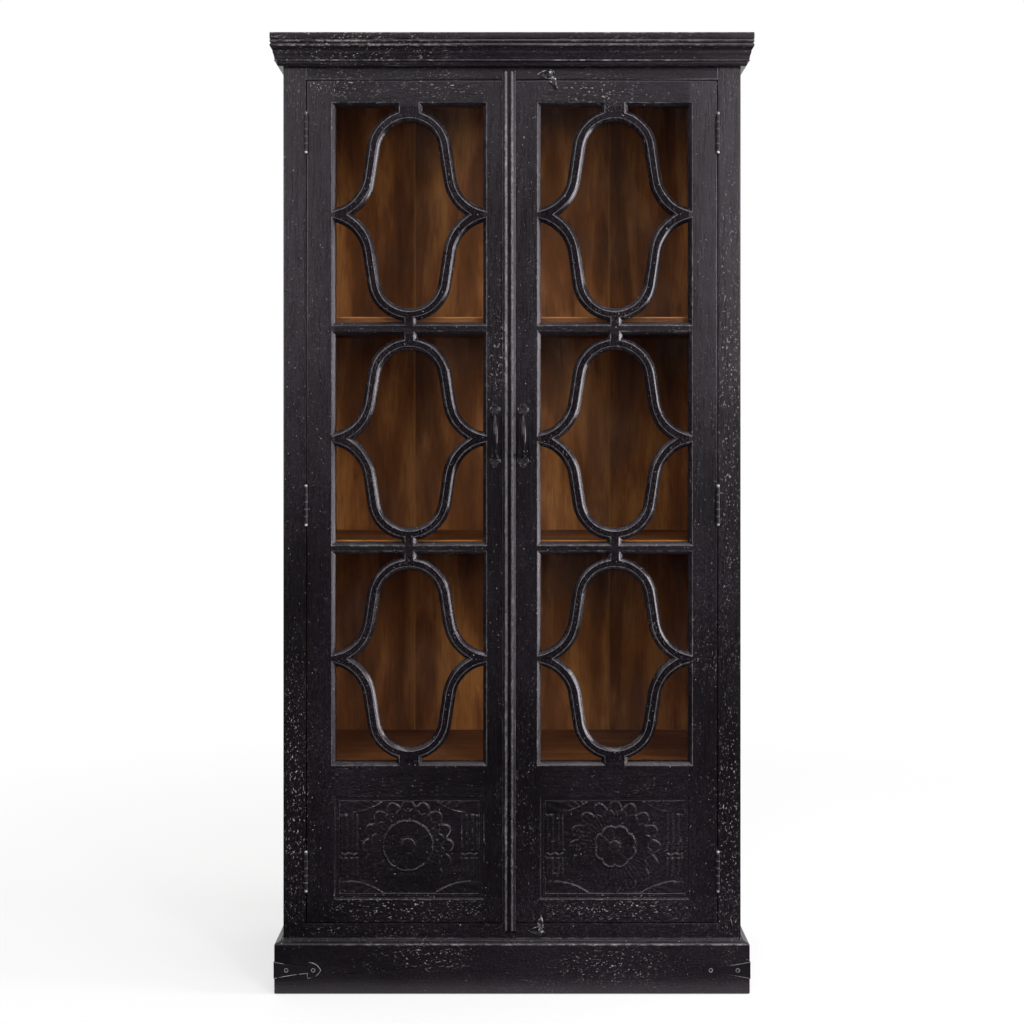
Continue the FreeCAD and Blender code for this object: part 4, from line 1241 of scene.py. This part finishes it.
def latches():
    """Two turn latches: a leaf-shaped plate, a spade on a boss, and the pivot screw."""
    # The pivot screw's dome is fully worn, which paints a glint on its head as well as rubbed metal
    pivot = sized([
        (2, 0, 0), (2, 3.6, 0), (4.6, 3.6, 0.4), (4.5, 4.4, 1.0),
        (3.6, 5.5, 1.0), (2.0, 6.1, 1.0), (0, 6.2, 1.0),
    ])
    head_radius = max(point[0] for point in pivot)
    thick = latch_plate_thick
    plate_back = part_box("latch_plates")[1].y
    low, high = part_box("latch_screws")
    places = {
        "top": (high.x - head_radius, high.z - head_radius, math.pi - latch_lean),
        "bottom": (low.x + head_radius, low.z + head_radius, 0.0),
    }
    plates, screws = new_bmesh(), new_bmesh()
    for name, (x, z, lean) in places.items():
        def on_rail(px, pz, forward):
            return Vector((x + px, plate_back - forward, z + pz))

        outline = latch_outline(latch_plate_length, latch_plate_half)
        add_plate(plates, outline, on_rail, thick, 1.0 * MM, 1.0 * MM)
        add_screw(plates, on_rail(-latch_screw_out, 0, 1 * MM), 2.2 * MM, 1.0 * MM)
        add_lathe(screws, on_rail(0, 0, thick), (0, -1, 0), pivot)
        button = new_bmesh()
        add_boss(button, latch_bore, latch_boss_radius, latch_spade_thick)
        add_spade(button, latch_spade_length, latch_spade_thick)
        turned = Matrix.Translation(on_rail(0, 0, thick + 0.3 * MM)) @ Matrix.Rotation(lean, 4, "Y")
        bmesh.ops.transform(button, matrix=turned, verts=button.verts)
        place_iron(f"latch_button_{name}", button, [IRON], f"latch_{name}")
    place_iron("latch_plates", plates, [IRON])
    place_iron("latch_screws", screws, [IRON])


def add_spade(bm, length, thick):
    """A ridged spade that points up from its boss; its back is at y = 0."""
    neck, barbs, head = 3 * MM, 12 * MM, 7 * MM
    shoulder = barbs + 1.2 * MM
    halves = [
        (4.2 * MM, neck), (9 * MM, neck * 0.9), (10.8 * MM, neck * 1.1), (barbs - 0.4 * MM, head * 0.8),
        (barbs, head), (shoulder, head * 0.98),
    ]
    for i in range(1, 12):
        t = i / 11
        halves.append((shoulder + (length - shoulder) * t, head * (1 - t) ** 0.85 + 1.2 * MM * t))
    edge = thick * 0.4
    rings = []
    for z, half in halves:
        right = [
            (half * 0.15, -thick, 0.7), (half * 0.8, -edge - 0.4 * MM, 0.9),
            (half, -edge, 1.0), (half, 0, 0.2),
        ]
        section = [(-px, py, worn) for px, py, worn in reversed(right)] + right
        rings.append(add_row(bm, [((px, py, z), worn) for px, py, worn in section]))
    close_rings(bm, rings)
    # The dome at the spade's point is worn at its top, which paints a glint as well as rubbed metal
    add_lathe(bm, (0, -thick * 0.55, length - 1.8 * MM), (0, -1, 0), dome_profile(1.8 * MM, 1.2 * MM))


def add_boss(bm, bore, radius, thick):
    """A flat ring with eased edges round a bore, its back at y = 0."""
    profile = [
        (bore, 0, 0), (radius, 0, 0), (radius, -thick * 0.7, 0.8), (radius - 0.8 * MM, -thick, 1.0),
        (bore + 0.4 * MM, -thick, 0.4), (bore, -thick * 0.8, 0),
    ]
    rings = []
    for cosine, sine in circle(32):
        rings.append(add_row(bm, [((r * cosine, y, r * sine), worn) for r, y, worn in profile]))
    join_rings(bm, rings + rings[:1])
    bmesh.ops.recalc_face_normals(bm, faces=bm.faces)


strap_thick = 1.5 * MM
strap_nail_places = (26.5 * MM, 82.5 * MM)


def strap_outline():
    """A tapered strap with a spade head, from the corner of the plinth to its point."""
    half, neck_half, head_half = 18 * MM, 7 * MM, 17.5 * MM
    neck, length, barb = 70 * MM, 99 * MM, 2.4 * MM
    upper = []
    for i in range(9):
        t = i / 8
        upper.append((neck * t, half + (neck_half - half) * (t + 0.10 * math.sin(math.pi * t))))
    for cosine, sine in turn_steps(5, math.pi / 2)[1:]:
        out = neck - 1 * MM + (barb + 1 * MM) * (1 - cosine)
        upper.append((out, neck_half + (head_half - neck_half) * sine))
    for i in range(1, 13):
        t = i / 12
        swell = 4.8 * MM * math.sin(math.pi * t)
        out = neck + barb + (length - neck - barb) * t + swell * 0.72
        upper.append((out, head_half * (1 - t) + swell * 0.68))
    points = [(px, -pz) for px, pz in upper] + upper[-2::-1]
    return without_repeats([np.array(p) for p in points])


def strap_wear(side, out, up):
    """The left strap is rubbed along its lower edge and round its head, the right one faintly and least
    round its head."""
    if side > 0:
        return 0.75 * float(smooth(-out, -75 * MM, -30 * MM))
    head = smooth(out, 71 * MM, 74 * MM)
    lower = smooth(-up, 2 * MM, 5 * MM)
    corner = 0.75 * smooth(-out, -34 * MM, -20 * MM)
    return float(max(head, lower, corner))


def corner_straps():
    """Straps round the plinth's front corners, with ring-headed nails."""
    low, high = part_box("corner_straps")
    level = (low.z + high.z) / 2
    thick = strap_thick
    outline = strap_outline()
    ring = sized([(4.6, 0, 0), (4.4, 0.6, 0.9), (3.4, 0.7, 1.0), (2.6, 0.1, 0)])
    nail = dome_profile(2.5 * MM, 1.25 * MM, 0.0)
    straps, nails = new_bmesh(), new_bmesh()
    for side in SIDES.values():
        rubbed = [strap_wear(side, out, up) for out, up in outline]

        def on_front(out, up, forward):
            return Vector((side * (plinth_half + thick - out), plinth_face - forward, level + up))

        def on_end(out, up, forward):
            return Vector((side * (plinth_half + forward), plinth_face - thick + out, level + up))

        for to_place, axis in ((on_front, (0, -1, 0)), (on_end, (side, 0, 0))):
            add_plate(straps, outline, to_place, thick, rim_wear=rubbed)
            for away in strap_nail_places:
                add_lathe(straps, to_place(away, 0, thick - 0.2 * MM), axis, ring)
                add_lathe(nails, to_place(away, 0, thick), axis, nail)
    place_iron("corner_straps", straps, [STRAP_IRON])
    place_iron("strap_nails", nails, [PAINT["x"]])


hinge_length = 76 * MM
hinge_leaf = 1.5 * MM
hinge_deep = 20 * MM
hinge_proud = 4.2 * MM
hinge_middles = (249 * MM, 1015 * MM, 1795 * MM)
barrel_radius = 3.8 * MM
pin_radius = 1.5 * MM
tip_radius = 3.4 * MM
knuckles = 5


def knuckle_profile(length):
    """A barrel with eased ends, rubbed and with a painted glint on them, as (radius, distance, wear)."""
    start = [
        (1.7 * MM, 0, 0), (barrel_radius - 0.5 * MM, 0, 0.4), (barrel_radius, 0.5 * MM, 0.75),
        (barrel_radius, 2 * MM, 0),
    ]
    return start + [(radius, length - along, worn) for radius, along, worn in reversed(start)]


def tip_profile():
    """A ball on the pin's end, its wear highest round its widest part, which paints rubbed metal and a glint
    there.
    """
    start = math.radians(28)
    neck, sunk = 1.6 * MM, 1 * MM
    points = [(neck, -sunk, 0)]
    for i in range(9):
        turn = start + (math.pi - start) * i / 8
        along = tip_radius * (math.cos(start) - math.cos(turn))
        points.append((tip_radius * 0.98 * math.sin(turn), along, 0.3 + 0.7 * math.sin(turn)))
    return points


def add_leaf(bm, x0, x1, pin_x, foot, first):
    """A leaf and its knuckles, which are every second one from the first."""
    pin_y = front - hinge_proud
    pitch = hinge_length / knuckles
    low, high = (x0, front + 0.1 * MM, foot), (x1, front + hinge_deep, foot + hinge_length)
    add_board(bm, low, high, 0.3 * MM, 0.3 * MM)
    for k in range(first, knuckles, 2):
        start, stop = foot + k * pitch + 0.2 * MM, foot + (k + 1) * pitch - 0.2 * MM
        add_lathe(bm, (pin_x, pin_y, start), (0, 0, 1), knuckle_profile(stop - start), 20)
        add_board(bm, (x0, pin_y, start), (x1, front + 1 * MM, stop), 0.2 * MM, 0.2 * MM)


def hinges():
    """Butt hinges: leaves in the edges of door and frame, five knuckles, and a pin with ball tips."""
    pin_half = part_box("hinge_pins")[1].x - tip_radius
    pin_y = front - hinge_proud
    door_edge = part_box("right_hinge_leaves")[0].x
    frame_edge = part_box("face_stile_right")[0].x
    frame_leaves, pins = new_bmesh(), new_bmesh()
    for side_name, side in SIDES.items():
        door_leaves = new_bmesh()
        pin_x = side * pin_half
        for middle in hinge_middles:
            foot = middle - hinge_length / 2
            for bm, first, edge in ((door_leaves, 1, door_edge), (frame_leaves, 0, frame_edge)):
                x0, x1 = sorted((side * edge, side * (edge + hinge_leaf)))
                add_leaf(bm, x0, x1, pin_x, foot, first)
            for end, base in ((-1, foot), (1, foot + hinge_length)):
                add_lathe(pins, (pin_x, pin_y, base), (0, 0, end), tip_profile(), 20)
            pin = [(pin_radius, 0, 0), (pin_radius, hinge_length, 0)]
            add_lathe(pins, (pin_x, pin_y, foot), (0, 0, 1), pin, 12)
        place_iron(f"{side_name}_hinge_leaves", door_leaves, [HINGE_IRON], f"door_{side_name}")
    place_iron("frame_hinge_leaves", frame_leaves, [HINGE_IRON])
    place_iron("hinge_pins", pins, [HINGE_IRON])


def back_planks():
    """Four stained planks with eased edges, each with its own stretch of grain."""
    low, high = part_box("back_planks")
    count, gap = 4, 0.02 * MM
    width = (high.x - low.x - gap * (count - 1)) / count
    bm = new_bmesh()
    layer = bm.verts.layers.float.new("plank")
    for i in range(count):
        x0 = low.x + i * (width + gap)
        before = set(bm.verts)
        add_board(bm, (x0, low.y, low.z), (x0 + width, high.y, high.z), 1.0 * MM)
        for vert in set(bm.verts) - before:
            vert[layer] = i + 1
    place_wood("back_planks", bm, WOOD["z"])


# Lamps, each with its place, its aim, its size and its power in watts
LAMPS = {
    "softbox_right": ((1.75, -3.3, 2.15), (0, -0.15, 1.3), (0.5, 1.6), 31),
    "softbox_side": ((3.0, -0.5, 1.2), (0.3, -0.2, 1.1), (0.7, 2.3), 62),
    "softbox_top": ((0.6, -1.2, 3.7), (0, -0.1, 1.0), (1.6, 0.6), 16),
    "softbox_high": ((0.1, -2.6, 3.9), (0, -0.18, 1.3), (0.9, 0.4), 7),
    "softbox_left": ((-1.75, -3.3, 2.15), (0, -0.15, 1.3), (0.5, 1.6), 20),
}


def lamp(name, place_at, aim, size, power):
    data = bpy.data.lights.new(name, "AREA")
    data.shape = "RECTANGLE"
    data.size, data.size_y = size
    data.energy = power
    lamp_object = bpy.data.objects.new(name, data)
    lamp_object.location = place_at
    lamp_object.visible_transmission = False
    lamp_object.rotation_euler = (Vector(aim) - Vector(place_at)).to_track_quat("-Z", "Y").to_euler()
    bpy.context.scene.collection.objects.link(lamp_object)


# Camera and stage

def camera():
    """A level camera on the middle, at the photo's scale at the doors' plane."""
    distance, height = 3.05, 1.152
    frame_pixels, focal_pixels, horizon_row = 1024, 1455.9, 440
    data = bpy.data.cameras.new("camera")
    data.sensor_width = 36.0
    data.lens = focal_pixels * data.sensor_width / frame_pixels
    data.shift_y = (horizon_row - frame_pixels / 2) / frame_pixels
    view = bpy.data.objects.new("camera", data)
    view.location = (0, front - distance, height)
    view.rotation_euler = (math.pi / 2, 0, 0)
    bpy.context.scene.collection.objects.link(view)
    bpy.context.scene.camera = view


def world():
    """Plain surroundings, white where they are seen and greyer where they light the scene."""
    surroundings = bpy.data.worlds.new("surroundings")
    surroundings.use_nodes = True
    tree = surroundings.node_tree
    background = tree.nodes["Background"]
    background.inputs["Color"].default_value = (1, 1, 1, 1)
    level = tree.nodes.new("ShaderNodeMapRange")
    tree.links.new(seen_or_mirrored(tree), level.inputs["Value"])
    level.inputs["To Min"].default_value = 0.6
    level.inputs["To Max"].default_value = 1.0
    tree.links.new(level.outputs[0], background.inputs["Strength"])
    bpy.context.scene.world = surroundings


def seen_or_mirrored(tree):
    """One for rays from the camera and for those that metal and glass show, otherwise nought."""
    path = tree.nodes.new("ShaderNodeLightPath")
    shown = path.outputs["Is Camera Ray"]
    for ray in ("Is Glossy Ray", "Is Transmission Ray"):
        either = tree.nodes.new("ShaderNodeMath")
        either.operation = "MAXIMUM"
        tree.links.new(shown, either.inputs[0])
        tree.links.new(path.outputs[ray], either.inputs[1])
        shown = either.outputs[0]
    return shown


def floor_paper():
    """White paper that keeps the cabinet's shadow and fades to plain white further out."""
    s = Shader("floor_paper")
    near, far = 0.6, 2.6
    lit_share, glow_share = 0.50, 0.56
    reach = s.spread(s.vector_math("LENGTH", s.position, output="Value"), near, far)
    mottle = s.spread(s.noise(s.position, 40, 3, 0.5), 0.3, 0.7, 0.0, 0.004)
    shade = s.math("SUBTRACT", s.spread(reach, 0, 1, lit_share, 0.0), mottle, clamp=True)
    paper = s.node("ShaderNodeCombineColor")
    for channel in range(3):
        s.join(shade, paper.inputs[channel])
    s.set(Base_Color=paper.outputs[0], Roughness=0.95, Specular_IOR_Level=0.0, Emission_Color=(1, 1, 1, 1))
    return s.set(Emission_Strength=s.times(seen_or_mirrored(s.tree), s.spread(reach, 0, 1, glow_share, 1.0)))


def quad(name, corners, material):
    mesh = bpy.data.meshes.new(name)
    mesh.from_pydata(corners, [], [(0, 1, 2, 3)])
    mesh.materials.append(material)
    made = bpy.data.objects.new(name, mesh)
    bpy.context.scene.collection.objects.link(made)
    return made


def flags():
    """Dark studio flags that only reflections show: in front, at the left and on the floor."""
    felt = Shader("black_felt")
    felt.set(Base_Color=FELT, Roughness=1.0, Specular_IOR_Level=0.0)
    top, low = 3.3, 0.004
    left_x, right_x = -4.6, 2.4
    front_y, back_y, floor_back = -5.2, 1.2, -0.25
    corners = {
        "flag_front": [
            (left_x, front_y, 0), (right_x, front_y, 0), (right_x, front_y, top), (left_x, front_y, top),
        ],
        "flag_left": [
            (left_x, front_y, 0), (left_x, back_y, 0), (left_x, back_y, top), (left_x, front_y, top),
        ],
        "flag_floor": [
            (left_x, front_y, low), (right_x, front_y, low),
            (right_x, floor_back, low), (left_x, floor_back, low),
        ],
    }
    for name, places in corners.items():
        flag = quad(name, places, felt.material)
        flag.visible_camera = False
        flag.visible_diffuse = False
        flag.visible_shadow = False


def stage():
    reach = 14.0
    corners = [(-reach, -reach, 0), (reach, -reach, 0), (reach, reach, 0), (-reach, reach, 0)]
    quad("floor", corners, floor_paper())
    flags()
    for name, settings in LAMPS.items():
        lamp(name, *settings)


# Putting the cabinet together

camera()
world()
stage()
door_members()
cap_board()
ringed("crown", crown_section(), body_half, front)
for side_name in SIDES:
    side_panel(side_name)
    board(f"face_stile_{side_name}", PAINT["z"], worn=0.5, edge=0.5 * MM)
for rail in ("top", "bottom"):
    board(f"face_rail_{rail}", PAINT["x"], worn=0.5, edge=0.5 * MM)
for stained_board in ("shelf_lower", "shelf_middle", "shelf_upper", "bottom_board"):
    board(stained_board, WOOD["x"])
back_planks()
ringed("plinth", plinth_section(), plinth_half, plinth_face)
board("plinth_back", PAINT["x"])
astragal()
latches()
corner_straps()
hinges()
for side_name in SIDES:
    carved_panel(side_name)
    handle(side_name)
    door_glass(side_name)

# Finishes of the nodes that keep their own shape
kept = {
    "board_battens": WOOD["y"], "door_stop": WOOD["x"],
    "left_glass_beads": PAINT["z"], "right_glass_beads": PAINT["z"],
}
for node, material in kept.items():
    mesh = frame["nodes"][node].data
    mesh.materials.clear()
    mesh.materials.append(material)

bpy.context.scene.view_settings.view_transform = "Standard"
